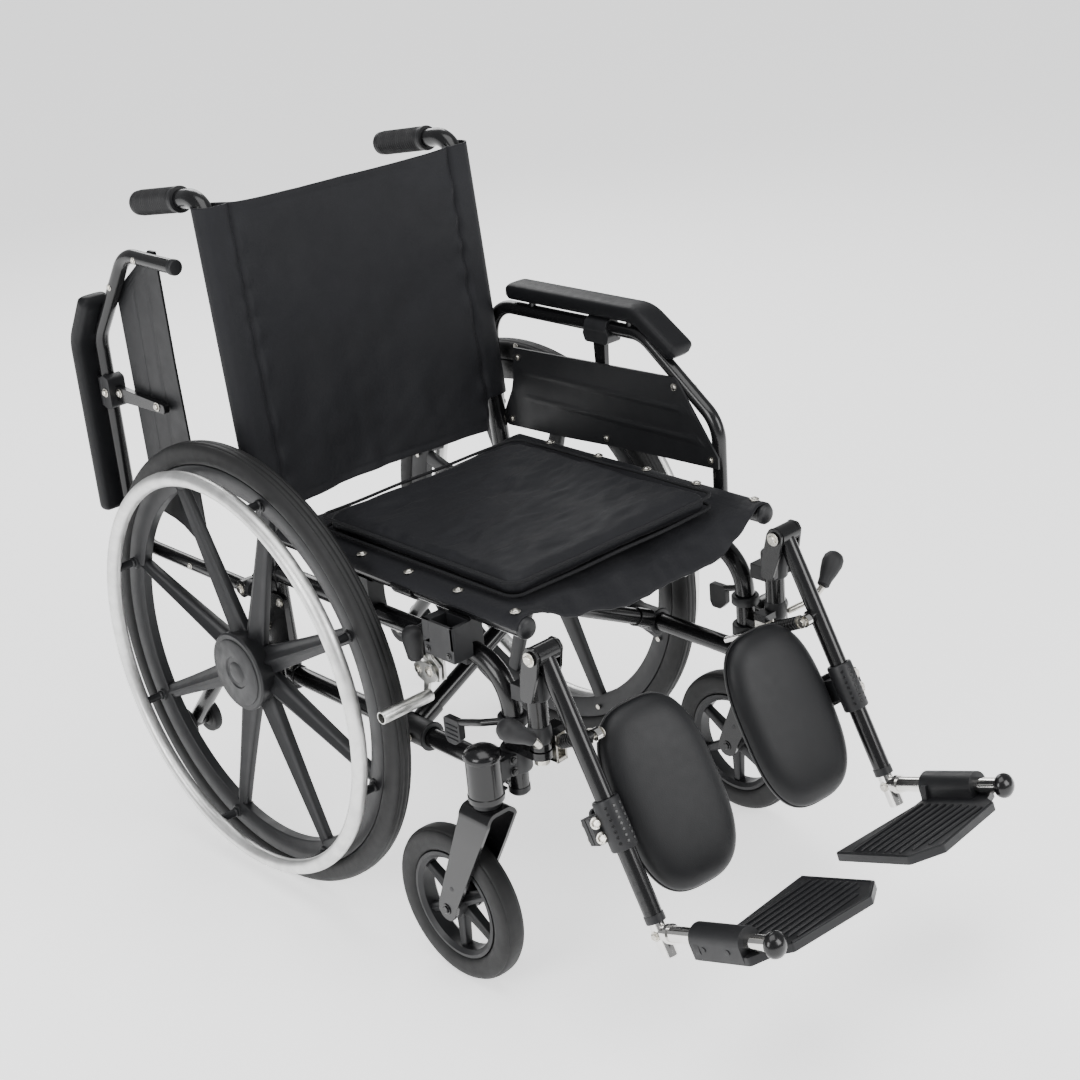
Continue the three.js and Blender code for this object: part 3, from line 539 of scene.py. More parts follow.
# ---- Anti-tip tails ----
# A bent steel tail plugs into the back of each lower tube. Two small rubber wheels on one pin just clear
# the floor behind the rear wheels.
for label, side in SIDES:
    x, y, z = middle_of("anti_tip_wheels_left")
    y -= AXLE_Y
    line = route([(x, 4.5, 274), (x, 130, 269), (x, y, z + 4)], 45, 12)
    shells = [
        (tube(line, 11, 24), enamel),
        (tube([(x, 4.5, 274), (x, 40, 272.6)], 14.4), moulding),
        (bar(x, 13, y, z, 9.5), enamel),
    ]
    shells += bolt((x + 14, 25, 273), (1, 0, 0), 4, 3.5)
    piece(f"tail_{label}", shells, f"{label}_frame", [f"anti_tip_tube_{label}"], side, bevel=0.6)
    wheel = [(14, 4), (14, 13), (15.5, 15), (14, 20), (14.5, 23.5), (17, 25), (24, 25), (26.5, 23.5), (27, 20),
             (25.5, 15), (27, 13), (27.5, 6), (28, 5), (28, 0.1)]
    shells = [(bar(x, 16, y, z, 4), zinc)]
    for out in (-1, 1):
        profile = [(out * along, radius) for along, radius in wheel]
        shells.append((turned([(out * 14, 0.1)] + profile, (x, y, z), sides=48), rubber))
        shells += bolt((x + 28 * out, y, z), (out, 0, 0), 4, 3)
    piece(f"tail_wheels_{label}", shells, f"{label}_anti_tip_wheels",
          [f"anti_tip_wheels_{label}"], side)


# ---- Seat rails and cross brace ----
# Two struts cross under the seat and turn on one bolt. Each stands on a sleeve round its own side's lower
# tube and carries the other side's seat rail, so the chair folds when the rails are lifted.
BRACE_Y, BRACE_APART = -270, 13
SCREWS = (-470, -373, -284, -195, -100)

for label, side in SIDES:
    low, high = (corner * 1000 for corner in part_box(f"seat_rail_{label}"))
    x, start, end = FRAME_X, low.y - AXLE_Y, high.y - AXLE_Y
    plug = [(0, 0.1), (0.4, 8), (1.5, 11), (4, 13), (8, 13.2), (9, 12.7), (9, 0.1)]
    shells = [
        (tube([(x, start + 4, RAIL_Z), (x, end, RAIL_Z)], TUBE_R, 28), enamel),
        (turned(plug, (x, start, RAIL_Z), (0, 1, 0)), moulding),
        (turned([(-2, 0.1), (-2, 10), (0, 13), (3, 13), (3, 0.1)], (x, end, RAIL_Z), (0, -1, 0)), moulding),
    ]
    for y in SCREWS:
        cup = [(0, 0.1), (0, 6.4), (0.8, 6.2), (1.6, 5), (1.6, 0.1)]
        dome = [(1, 0.1), (1, 4.2), (2, 3.9), (3, 2.6), (3.4, 0.1)]
        at = (x, y, RAIL_Z + TUBE_R + 3.6)
        shells += [(turned(cup, at, (0, 0, 1), 24), zinc), (turned(dome, at, (0, 0, 1), 16), zinc)]
    other = "right" if label == "left" else "left"
    piece(f"rail_{label}", shells, f"{other}_brace", [f"seat_rail_{label}"], side)

    y = BRACE_Y - side * BRACE_APART
    middle = (LOWER_Z + RAIL_Z) / 2
    lean = np.array([-2 * x, 0, RAIL_Z - LOWER_Z], float)
    lean /= np.linalg.norm(lean)
    foot, head = np.array([x, y, LOWER_Z]), np.array([-x, y, RAIL_Z])
    collar = [(-24, 12.8), (-24, 18), (-22, 19), (-19, 17.2), (19, 17.2), (22, 19), (24, 18), (24, 12.8)]
    shells = [
        (tube([foot + lean * 15, head - lean * 14], 11, 24), enamel),
        (turned(collar, (x, BRACE_Y, LOWER_Z), (0, 1, 0), 40, closed=True), moulding),
        (tube([foot + lean * 14, foot + lean * 42], 13, 24), enamel),
    ]
    cradle = [(-x + 15.5 * math.cos(a), RAIL_Z + 15.5 * math.sin(a)) for a in np.linspace(-3.3, 0.3, 14)]
    inner = [(-x + 12.8 * math.cos(a), RAIL_Z + 12.8 * math.sin(a)) for a in np.linspace(0.3, -3.3, 14)]
    shells.append((plate(cradle + inner, y - 18, y + 18, axis=1), enamel))
    shells += bolt((x + 18.5, BRACE_Y, LOWER_Z), (1, 0, 0), 3.6, 3)
    if side > 0:
        shells.append((tube([(0, BRACE_Y - 30, middle), (0, BRACE_Y + 30, middle)], 5, 16), zinc))
        for out in (-1, 1):
            shells += bolt((0, BRACE_Y + out * 25, middle), (0, out, 0), 6.5, 5)
    piece(f"brace_{label}", shells, f"{label}_brace", [f"cross_brace_{label}"], side, bevel=0.6)


# ---- Arm sockets ----
# A moulded block under each seat rail is clamped on the upper tube. The front foot of the armrest drops
# into its socket, and a round spring pin holds it there.
for label, side in SIDES:
    low, high = (corner * 1000 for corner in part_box("rail_block_left"))
    (x0, y0, z0), (x1, y1, z1) = (low.x, low.y - AXLE_Y, low.z), (high.x, high.y - AXLE_Y, high.z)
    shells = [
        (block((217, y0, 424), (x1, y1, 440)), moulding),
        (block((217, y0, 440), (218.6, y1, z1)), moulding),
        (block((x1 - 4, y0, 440), (x1, y1, z1)), moulding),
        (block((217, y0, 440), (x1, y0 + 4.5, z1)), moulding),
        (block((217, y1 - 12, 440), (x1, y1, z1)), moulding),
        (block((x0, y0 + 14, z0), (217, y1, 462)), moulding),
    ]
    for y in (y0 + 9, y1 - 7):
        shells += [(head, enamel) for head, _ in bolt((x1, y, 432), (1, 0, 0), 3, 2.4)]
    piece(f"arm_socket_{label}", shells, f"{label}_frame", [f"rail_block_{label}"], side,
          bevel=1.0)


# ---- Armrests ----
# A loop of 19 mm tube turns on a bolt behind, so it can be flipped back. It carries a padded vinyl rest
# and a thin moulded panel. The left one is down, and the right one has been left flipped back.
ARM_X, PIVOT_Y, PIVOT_Z, ARM_TOP = 230, 31, 399, 668
vinyl = finish("arm_vinyl", (0.006, 0.0062, 0.0072), 0.5, drift=0.08, grain=0.0012, relief=0.3, patch=0.02,
               Specular_IOR_Level=0.2)


def placed(shells, at, turn_x=0.0, turn_z=0.0):
    """Shells turned about Z, then about X, in degrees, and moved to a point."""
    spin = Matrix.Rotation(math.radians(turn_x), 3, "X") @ Matrix.Rotation(math.radians(turn_z), 3, "Z")
    spin, at = np.array(spin), np.array(at, float)
    return [((points @ spin.T + at, faces), material) for (points, faces), material in shells]


def flipped(shells, side):
    """The arm as it stands at rest: down on the left, turned back a quarter turn about its pivot on the right."""
    pivot = np.array((0, PIVOT_Y, PIVOT_Z), float)
    from_pivot = [((points - pivot, faces), material) for (points, faces), material in shells]
    return placed(from_pivot, pivot, -90 if side < 0 else 0)


def lengths(line):
    """The distance run along a line up to each of its points."""
    return np.concatenate([[0], np.cumsum(np.linalg.norm(np.diff(line, axis=0), axis=1))])


def evenly(line, count):
    """The line's points set at equal distances along it, and the distance run up to each."""
    far = lengths(line)
    steps = np.linspace(0, far[-1], count)
    return np.column_stack([np.interp(steps, far, line[:, k]) for k in range(3)]), steps


def soft_bar(line, half_width, half_height, grow, sides=40, squareness=0.5):
    """A stuffed bar: a rounded square section carried along a line, and grown from nothing at both ends."""
    _, first, second = directions(line)
    far = lengths(line)
    edge = np.minimum(far, far[-1] - far)
    size = np.sqrt((1 - (1 - (edge / grow).clip(0, 1)) ** 2).clip(0.0009, 1))[:, None, None]
    turn = circle(sides)[None, :, None]
    wide = eased(np.cos(turn), squareness)
    tall = eased(np.sin(turn), squareness)
    width = half_width - grow + grow * size
    return skin(line[:, None] + wide * width * first[:, None] + tall * half_height * size * second[:, None])


for label, side in SIDES:
    loop = route([(ARM_X, PIVOT_Y, 386), (ARM_X, PIVOT_Y, ARM_TOP), (ARM_X, -267, ARM_TOP + 1),
                  (ARM_X, -392, 571), (ARM_X, -390, 452)], 50, 14)
    shells = [
        (tube(loop, 9.5, 24), enamel),
        (tube([(ARM_X, -172, 668.5), (ARM_X, -212, 668.5)], 13.5, 32), moulding),
        (turned([(0, 0.1), (0, 9.2), (2, 10.4), (8, 10.4), (9, 9.6), (9, 0.1)], (ARM_X, -390, 451), (0, 0, 1)),
         moulding),
        (turned([(0, 0.1), (0, 10.6), (8, 11.4), (13, 11.4), (13, 0.1)], (ARM_X, PIVOT_Y, 385), (0, 0, 1)),
         moulding),
        (tube([(ARM_X - 9, PIVOT_Y, PIVOT_Z), (ARM_X + 9.6, PIVOT_Y, PIVOT_Z)], 12, 32), enamel),
    ]
    # The flat post under the collar carries the panel's middle, with a clamp block and its lever.
    post = [(-201, 655), (-179, 655), (-181, 600), (-182, 531), (-195, 531), (-198, 600)]
    shells.append((plate(post, ARM_X - 5.5, ARM_X + 3, corner=5), enamel))
    shells.append((plate([(-212, 648), (-172, 648), (-168, 659), (-172, 671), (-212, 671), (-216, 659)],
                         ARM_X - 13, ARM_X + 13, corner=5), moulding))
    for y, z, out in ((-192, 640, 1), (-190, 548, 1), (-192, 659, 1)):
        shells += bolt((ARM_X + (13 if z == 659 else 3), y, z), (out, 0, 0), 4.4, 3.6)
    for y, z in ((-390, 536), (-345, 608), (-6, 607), (30, 520)):
        shells += bolt((ARM_X + 9, y, z), (1, 0, 0), 3.2, 2.6)
    for y in (-60, -245):
        shells.append((tube([(ARM_X, y, 674), (ARM_X, y, 686)], 5), enamel))
    piece(f"arm_loop_{label}", flipped(shells, side), f"{label}_armrest",
          [f"arm_tube_{label}"], side, bevel=0.7)

    # The rest stands 9 mm outboard of its tube, so that it passes the cane when the arm is turned back.
    rest_x = ARM_X + 8.8
    line = route([(rest_x, -15, 693), (rest_x, -262, 694.3), (rest_x, -327, 650)], 46, 12)
    line, _ = evenly(line, 90)
    points, faces = soft_bar(line, 21.2, 11.8, 9)
    rows, middle = points.reshape(90, 40, 3), line[:, None]
    # Low on its sides the vinyl ends at a moulded base, which is a little narrower.
    base = rows[..., 2:] < middle[..., 2:] - 4.5
    rows = np.where(base, middle + (rows - middle) * (0.965, 1, 1), rows)
    piece(f"arm_rest_{label}", flipped([((rows.reshape(-1, 3), faces), vinyl)], side), f"{label}_armrest",
          [f"arm_pad_{label}"], side, sharp=60)

    y = np.linspace(-400, 2, 70)
    top = np.interp(y, (-400, -333, -26, -20, 2), (530, 626, 616, 560, 520)) - 1
    bottom = np.interp(y, (-400, -249, -120, -1, 2), (514, 509, 501, 497, 500))
    v = np.linspace(0, 1, 42)[None, :]
    z = bottom[:, None] + (top - bottom)[:, None] * v
    # Two pressed creases run the length of the panel, a third of its height from each edge.
    crease = sum(1.3 * np.exp(-((z - level) / 2.2) ** 2) for level in (546, 583))
    inset = ((y > -372) & (y < -40))[:, None]
    crease = crease * inset
    deep = np.broadcast_to(y[:, None], z.shape)
    outer = np.stack([220.2 - crease, deep, z], -1)
    inner = np.stack([217 - crease, deep, z], -1)
    shells = [(skin(np.concatenate([outer, inner[:, ::-1]], 1)), moulding)]
    for at_y, at_z in ((-388, 524), (-330, 612), (-34, 602), (-12, 508), (-200, 516)):
        shells += bolt((217, at_y, at_z), (-1, 0, 0), 3.4, 2.4)
    piece(f"side_panel_{label}", flipped(shells, side), f"{label}_armrest",
          [f"arm_panel_{label}"], side, sharp=50)


# ---- Wheel locks ----
# A zinc plated bracket is clamped on the upper tube. Its lever turns on a bolt, with a rubber knob above
# and a short open tube below, which presses on the tyre when the lever is pushed forward.
LOCK = (226, -337, 389)
bright = finish("lock_plate", (0.63, 0.63, 0.61), 0.34, metal=1.0, drift=0.2, patch=0.01, grain=0.0005)

for label, side in SIDES:
    outline = [(-350, 376), (-322, 372), (-318, 400), (-330, 430), (-330, 458), (-348, 462), (-351, 430)]
    shells = [
        (plate(outline, 216.3, 219.6, corner=5), bright),
        (plate([(-345, 406), (-302, 406), (-302, 436), (-345, 436)], 188.3, 217.6, corner=6), moulding),
        (tube([(218, LOCK[1], LOCK[2]), (232, LOCK[1], LOCK[2])], 4, 16), zinc),
        (plate([(-316, 380), (-296, 380), (-296, 410), (-316, 410)], 216.3, 219.6, corner=5), bright),
    ]
    # A second plate stands outboard of the lever, below its knob.
    outer = [(-350, 380), (-330, 370), (-314, 376), (-307, 390), (-318, 399), (-340, 398)]
    shells.append((plate(outer, 228.4, 231.4, corner=4), bright))
    shells += bolt((231.4, LOCK[1], LOCK[2]), (1, 0, 0), 5, 3)
    shells += bolt((231.4, -316, 386), (1, 0, 0), 4, 2.6)
    for y, z in ((-306, 390), (-340, 446), (-340, 416)):
        shells += bolt((219.6, y, z), (1, 0, 0), 4.2, 3.6)
    piece(f"lock_bracket_{label}", shells, f"{label}_frame", [f"wheel_lock_{label}"], side, bevel=0.5)

    arm = [(-10, -14), (10, -16), (16, -44), (24, -42), (18, -8), (18, 14), (16, 28), (6, 28), (0, 14), (-12, 6)]
    shoe = [(-4, 6.2), (-4, 7.6), (-3, 8), (71, 8), (72, 7.6), (72, 6.2)]
    knob = [(0, 0.1), (0, 7), (3, 9.5), (10, 10.5), (22, 12.6), (32, 13), (38, 11.5), (41, 8), (42.5, 0.1)]
    shells = [
        (plate(arm, -4.6, -0.4, corner=2.6), bright),
        (turned(shoe, (0, 15, -39), sides=32, closed=True), bright),
        (tube([(0, 12, 8), (8, 18, 22)], 4), bright),
        (turned(knob, (9, 18, 12), (0, 2, 40), 36), rubber),
    ]
    shells += bolt((-0.4, 8, 3), (1, 0, 0), 3.6, 3)
    piece(f"lock_arm_{label}", placed(shells, LOCK), f"{label}_lock_lever", [f"lock_lever_{label}"],
          side, bevel=0.4)


# ---- Leg rest latches ----
# A moulded collar on the front post carries a bent strip with a thumb tab. Pushing the tab turns the
# collar and lets the leg rest swing away.
for label, side in SIDES:
    strip = route([(218, -442, 352), (232, -424, 350), (234, -384, 338)], 12, 6)
    ring = [(346, 12.9), (346, 17), (347.5, 18), (356.5, 18), (358, 17), (358, 12.9)]
    shells = [
        (turned(ring, (FRAME_X, FRONT_Y, 0), (0, 0, 1), 40, closed=True), moulding),
        (tube(strip, 4.4, 16), enamel),
        (plate([(-390, 342), (-390, 318), (-380, 308), (-366, 308), (-362, 316), (-362, 342)], 229.5, 238.5,
               corner=4), moulding),
    ]
    for z in (315, 321, 327, 333):
        shells.append((tube([(238.6, -386, z), (238.6, -366, z)], 1.2, 8), moulding))
    piece(f"latch_{label}", shells, f"{label}_release_lever", [f"release_lever_{label}"], side,
          bevel=0.5)


# ---- Leg rest hangers ----
# A post hangs on the frame's hinge pin. Two pressed cheeks on its sleeve hold the pivot bolt of the
# elevating tube, a moulded rest bears on the front post, and a guide below holds the lock rod.
HANGER = (207, -496, 0)
PIVOT = np.array((207, -514, 457), float)

for label, side in SIDES:
    lean = PIVOT[1] - HANGER[1]
    cheek = [(-12, 398), (6, 398), (2, 430), (lean + 12, 461), (lean + 7, 469), (lean - 7, 469),
             (lean - 12, 461), (lean - 8, 436)]
    cap = [(421, 12.6), (429, 13.6), (432, 13.2), (435, 10), (436.5, 5), (437, 0.1)]
    shells = [
        (tube([(0, 0, 331), (0, 0, 432)], TUBE_R, 28), enamel),
        (turned([(396, 12.6), (396, 16), (398, 17), (428, 17), (430, 16), (430, 12.6)], (0, 0, 0), (0, 0, 1), 40,
                closed=True), moulding),
        (turned(cap, (0, 0, 0), (0, 0, 1), 40), moulding),
        (plate(cheek, -20, -16, corner=5), enamel),
        (plate(cheek, 16, 20, corner=5), enamel),
        (block((-18, -14, 399), (18, 4, 431)), enamel),
        (bar(0, 22, lean, 457, 5, 16), zinc),
        (block((-10, 8, 388), (10, 32, 408)), moulding),
        (block((-32, -9, 343), (-6, 9, 353)), enamel),
        (block((-31, -9, 307), (-29, 9, 345)), zinc),
        (block((-17.5, -9, 307), (-15, 9, 345)), zinc),
        (block((-31, -9, 307), (-15, 9, 312)), zinc),
        (turned([(340, 13), (346, 14.2), (356, 14.2), (362, 13)], (0, 0, 0), (0, 0, 1), 40), moulding),
    ]
    for out in (-1, 1):
        shells += bolt((22 * out, lean, 457), (out, 0, 0), 6, 4)
    piece(f"hanger_{label}_post", placed(shells, HANGER), f"{label}_hanger",
          [f"hanger_{label}"], side, bevel=0.7)

    stalk = route([(14, -8, 343), (32, -34, 360), (45, -40, 375)], 12, 8)
    bulb = [(0, 0.1), (0.5, 6), (2, 8), (10, 8.6), (22, 11.5), (34, 13.8), (42, 13), (47, 10), (50, 5), (50.6, 0.1)]
    shells = [
        (tube(stalk, 4.2, 16), zinc),
        (turned(bulb, (45, -40, 375), (0.775, 0.16, 0.61), 36), rubber),
    ]
    piece(f"height_knob_{label}", placed(shells, HANGER), f"{label}_height_lever",
          [f"height_lever_{label}"], side)
    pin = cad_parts[f"hanger_pin_{label}"]
    pin.data.materials.clear()
    pin.data.materials.append(zinc)


# ---- Elevating tubes and lock rods ----
# A 22 mm enamelled tube hangs from the hanger's pivot. A plated rod in a coil spring turns on its lug and
# slides in the hanger's guide, which grips it at the height that is wanted.
LEG_END = np.array((207, -663, 170), float)
LEG_LEAN = math.degrees(math.atan2(PIVOT[1] - LEG_END[1], PIVOT[2] - LEG_END[2]))
down = (LEG_END - PIVOT) / np.linalg.norm(LEG_END - PIVOT)
chrome = finish("chrome", (0.78, 0.77, 0.75), 0.1, metal=1.0, drift=0.1, patch=0.02, grain=0.002, relief=0.03)

for label, side in SIDES:
    lug = [(-56, -88), (-42, -88), (-38, -102), (-52, -104)]
    shells = [
        (bar(0, 15, 0, 0, 12.5, 32), enamel),
        (tube([(0, 0, 0), LEG_END - PIVOT], 11, 28), enamel),
        (tube([(LEG_END - PIVOT) - down * 9, (LEG_END - PIVOT) + down * 0.4], 11.8, 28), moulding),
        (plate(lug, -16, -5, corner=3), enamel),
        (tube([(-31, -50, -96), (-6, -50, -96)], 3.5, 16), zinc),
    ]
    shells += bolt((-31, -50, -96), (-1, 0, 0), 4.4, 3)
    # A row of small round holes down the front of the tube sets the length of the lower part.
    for far in np.arange(250, 318, 12.0):
        at = down * far
        dimple = [(10.7, 0.1), (10.7, 2.4), (11.15, 2.6), (11.15, 0.1)]
        shells.append((turned(dimple, at, (0.94, -0.3, 0.156), 14), hub_grey))
    piece(f"leg_{label}", placed(shells, PIVOT), f"{label}_leg", [f"leg_tube_{label}"], side,
          bevel=0.5)

    slope = math.atan2(327.5 - (PIVOT[2] - 96), HANGER[1] - (PIVOT[1] - 50))
    along = np.array((0, math.cos(slope), math.sin(slope)))
    over = np.array((0, -math.sin(slope), math.cos(slope)))
    turn = np.linspace(0, 2 * math.pi * 11, 11 * 18)
    coil = (along * (12 + 50 * turn / turn[-1])[:, None] + np.array((7.2, 0, 0)) * np.cos(turn)[:, None]
            + over * 7.2 * np.sin(turn)[:, None])
    shells = [
        (bar(0, 4, 0, 0, 8, 28), chrome),
        (tube([along * 4, along * 149, along * 151], [4.5, 4.5, 3], 20), chrome),
        (tube(coil, 1.5, 10), enamel),
        (turned([(9, 4), (9, 8.8), (11, 8.8), (11, 4)], (0, 0, 0), along, 24, closed=True), zinc),
        (turned([(63, 4), (63, 8.8), (65, 8.8), (65, 4)], (0, 0, 0), along, 24, closed=True), zinc),
    ]
    piece(f"lock_rod_{label}_spring", placed(shells, (184, -564, 361)), f"{label}_lock_rod",
          [f"lock_rod_{label}"], side)


# ---- Calf pads ----
# A moulded clamp round the elevating tube carries a swinging pad: thick foam under soft vinyl, drawn over
# a moulded shell whose rim shows as a thin line round the back.
PAD_TURN = {"left": -8, "right": 12}
PAD_HALF = (69, 114)
CLAMP_AT = PIVOT + (0, -205 * math.sin(math.radians(LEG_LEAN)), -205 * math.cos(math.radians(LEG_LEAN)))
pad_vinyl = finish("pad_vinyl", (0.008, 0.0082, 0.0092), 0.45, drift=0.06, grain=0.0011, relief=0.22, patch=0.03,
                   Specular_IOR_Level=0.3)


def crowned(half_x, half_z, roundness, levels, count=96):
    """A rounded oblong built from (scale, depth) pairs: each is its superellipse outline, scaled, at a depth."""
    turn = circle(count)
    power = 2 / roundness
    x, z = half_x * eased(np.cos(turn), power), half_z * eased(np.sin(turn), power)
    inset = np.array([min(half_x, half_z) * (1 - scale) for scale, _ in levels])[:, None]
    depth = np.array([depth for _, depth in levels])[:, None]
    rows = np.stack([x * (half_x - inset).clip(0.3) / half_x, depth + 0 * x,
                     z * (half_z - inset * (0.4 + 0.6 * half_z / half_x)).clip(0.3) / half_z], -1)
    return skin(rows)


for label, side in SIDES:
    turn_z = PAD_TURN[label]
    shells = [(turned([(-30, 11.4), (-30, 15), (-28, 16), (28, 16), (30, 15), (30, 11.4)], (0, 0, 0), (0, 0, 1),
                      40, closed=True), moulding)]
    for level in np.linspace(-21, 21, 7):
        for angle in (-2.2, -1.57, -0.94):
            at = (16.2 * math.cos(angle), 16.2 * math.sin(angle), level)
            shells.append((turned([(-0.6, 0.1), (-0.6, 2.4), (0.35, 2.1), (0.35, 0.1)], at,
                                  (math.cos(angle), math.sin(angle), 0), 10), enamel))
    shells += [
        (block((8, 4, -16), (26, 14, 16)), moulding),
        (block((8, 16, -16), (26, 26, 16)), moulding),
        (block((9, 14, -14), (17, 16, 14)), moulding),
        (block((-14, 8, -14), (10, 36, 14)), moulding),
        (plate([(-76, -20), (10, -20), (10, 20), (-76, 20)], 29.2, 35.8, axis=1, corner=7), moulding),
    ]
    for level in (-9, 9):
        shells += bolt((20, 4, level), (0, -1, 0), 5, 4.5)
        shells += bolt((20, 26, level), (0, 1, 0), 4.5, 5)
        shells += bolt((-55, 35.8, level), (0, 1, 0), 4, 3)
    piece(f"pad_clamp_{label}", placed(shells, CLAMP_AT, -LEG_LEAN, turn_z), f"{label}_calf_pad",
          [f"calf_clamp_{label}"], side, bevel=0.7)

    # Front levels: the depth falls away from the crown by the square root of what is left to the edge.
    scale = 1 - (1 - np.linspace(0, 1, 26)) ** 2
    front = [(0.985 * s, 20.5 - 14.5 * max(0, 1 - s ** 7) ** 0.55 - 4 * (1 - s ** 2)) for s in scale]
    rim = [(0.955, 21.4), (0.955, 22.0), (1.0, 22.4), (1.002, 24), (1.0, 26.2), (0.985, 27.6), (0.9, 28.4),
           (0.0, 28.4)]
    pad = crowned(PAD_HALF[0], PAD_HALF[1], 2.9, front + rim)
    shells = [((pad[0] + (-17.5 - PAD_HALF[0], 0, 0), pad[1]), pad_vinyl)]
    piece(f"calf_rest_{label}", placed(shells, CLAMP_AT, -LEG_LEAN, turn_z), f"{label}_calf_pad",
          [f"calf_pad_{label}"], side, sharp=55)


# ---- Foot tubes and footplates ----
# A chrome tube slides in the end of the elevating tube and bends forward, and ends in a black ball. The
# ribbed moulded footplate turns up round it on its half-round housing.
FOOT = (207, -671, 158)
FOOT_RISE = 19.4

for label, side in SIDES:
    start = LEG_END - np.array(FOOT) + down * 0.5
    rise = math.radians(FOOT_RISE)
    ahead = np.array((0, -math.cos(rise), math.sin(rise)))
    ball = [(0, 0.1), (0, 8), (2, 11), (5, 14), (9, 15), (13, 14), (17, 10), (19.4, 4.5), (20, 0.1)]
    shells = [
        (tube([start, start + down * 41, start + down * 42], [9.5, 9.5, 8.6], 28), chrome),
        (tube([(0, 0, 0), ahead * 172], 9.5, 28), chrome),
        (turned(ball, ahead * 166, ahead, 36), enamel),
        (turned([(12, 9.6), (12, 11.6), (17, 11.6), (17, 9.6)], (0, 0, 0), ahead, 32, closed=True), chrome),
    ]
    shells += bolt(start + down * 14 + np.array((9.2, 0, 0)), (1, 0, 0), 4.2, 4)
    shells += bolt(start + down * 14 - np.array((9.2, 0, 0)), (-1, 0, 0), 4.2, 3)
    piece(f"foot_bar_{label}", placed(shells, FOOT), f"{label}_leg", [f"foot_tube_{label}"], side)

    outline = [(-177, -53), (-177, -164), (-141, -188), (-24, -174), (-13, -157), (15, -145), (15, -60),
               (-39, -66)]
    arch = [(17 * math.cos(a), 17 * math.sin(a)) for a in np.linspace(0, math.pi, 22)]
    shells = [
        (plate(outline, -20.3, -10.6, axis=2, corner=5), moulding),
        (plate([(15, -20)] + arch + [(-17, -20)], -137, -60, axis=1), moulding),
        (plate([(13, -20.2), (17, -10), (17, 0), (13, 6), (-20, 6), (-24, -10), (-24, -20.2)], -74, -66, axis=1),
         moulding),
    ]
    # Grip ribs run across the plate, each a low rounded bar, and follow its slanted front edge.
    for y in np.linspace(-76, -168, 9):
        inner, outer = -168 + max(0, -150 - y) * 1.4, -34 - max(0, -150 - y) * 0.3
        bar = [(inner, y, -10.4), (inner + 4, y, -9.7), (outer - 4, y, -9.7), (outer, y, -10.4)]
        shells.append((tube(bar, [1, 2, 2, 1], 12), moulding))
    edge = route([(-174, -56, -10.6), (-174, -163, -10.6), (-140, -185, -10.6), (-26, -171, -10.6)], 6, 5)
    shells.append((tube(edge, 1.5, 10), moulding))
    for y in (-80, -117):
        shells.append((turned([(0, 0.1), (0, 3.4), (0.6, 3.2), (0.6, 0.1)], (17, y, -6), (1, 0, 0), 16), hub_grey))
    piece(f"foot_board_{label}", placed(shells, FOOT, -FOOT_RISE), f"{label}_footplate",
          [f"footplate_{label}"], side, bevel=0.8)


# ---- Seat sling ----
# Black nylon cloth, two layers sewn together, is laid over both seat rails and screwed down through
# washers. It sags a little between the rails, and its hemmed front edge droops past their ends.
def woven(name, colour, thread=0.0011, rough=0.62, relief=0.3, crease=0.25):
    """Plain weave: fine bands along two directions of the cloth, from its own map in metres, raise the
    threads. Slow noise lightens the cloth where it is rubbed, and wider noise gives soft creases."""
    material = finish(name, colour, rough, drift=0.07, patch=0.09, grain=0.004, relief=crease,
                      Sheen_Weight=0.02, Sheen_Roughness=0.5, Specular_IOR_Level=0.22)
    nodes, links = material.node_tree.nodes, material.node_tree.links
    shader = nodes["Principled BSDF"]
    soft = shader.inputs["Normal"].links[0].from_node
    soft.inputs["Distance"].default_value = 0.0012
    cloth_map = nodes.new("ShaderNodeUVMap")
    cloth_map.uv_map = "cloth"
    both = nodes.new("ShaderNodeMath")
    both.operation = "MULTIPLY"
    for direction, factor in zip("XY", both.inputs):
        band = nodes.new("ShaderNodeTexWave")
        band.bands_direction = direction
        band.inputs["Scale"].default_value = 0.314 / thread
        band.inputs["Distortion"].default_value = 0.6
        links.new(cloth_map.outputs["UV"], band.inputs["Vector"])
        links.new(band.outputs["Fac"], factor)
    weave = nodes.new("ShaderNodeBump")
    weave.inputs["Strength"].default_value = relief
    weave.inputs["Distance"].default_value = thread / 4
    links.new(both.outputs["Value"], weave.inputs["Height"])
    links.new(soft.outputs["Normal"], weave.inputs["Normal"])
    links.new(weave.outputs["Normal"], shader.inputs["Normal"])
    return material


nylon = woven("seat_nylon", (0.008, 0.0083, 0.0102))
binding = woven("binding_tape", (0.009, 0.0092, 0.0105), thread=0.0016, rough=0.7, relief=0.5)


def ripples(x, y, seed, waves=14, longest=160.0, shortest=18.0):
    """Small folds: a sum of sine waves whose directions, lengths and phases are drawn once from a seed;
    each wave's height is in step with its length."""
    draw = np.random.default_rng(seed)
    total = np.zeros(np.broadcast(x, y).shape)
    for length in np.geomspace(longest, shortest, waves):
        heading, phase = draw.uniform(0, math.pi), draw.uniform(0, 2 * math.pi)
        total += length / longest * np.sin(2 * math.pi * (x * math.cos(heading) + y * math.sin(heading)) / length
                                           + phase + 1.3 * np.sin((x - y) / longest * 4 + phase))
    return total


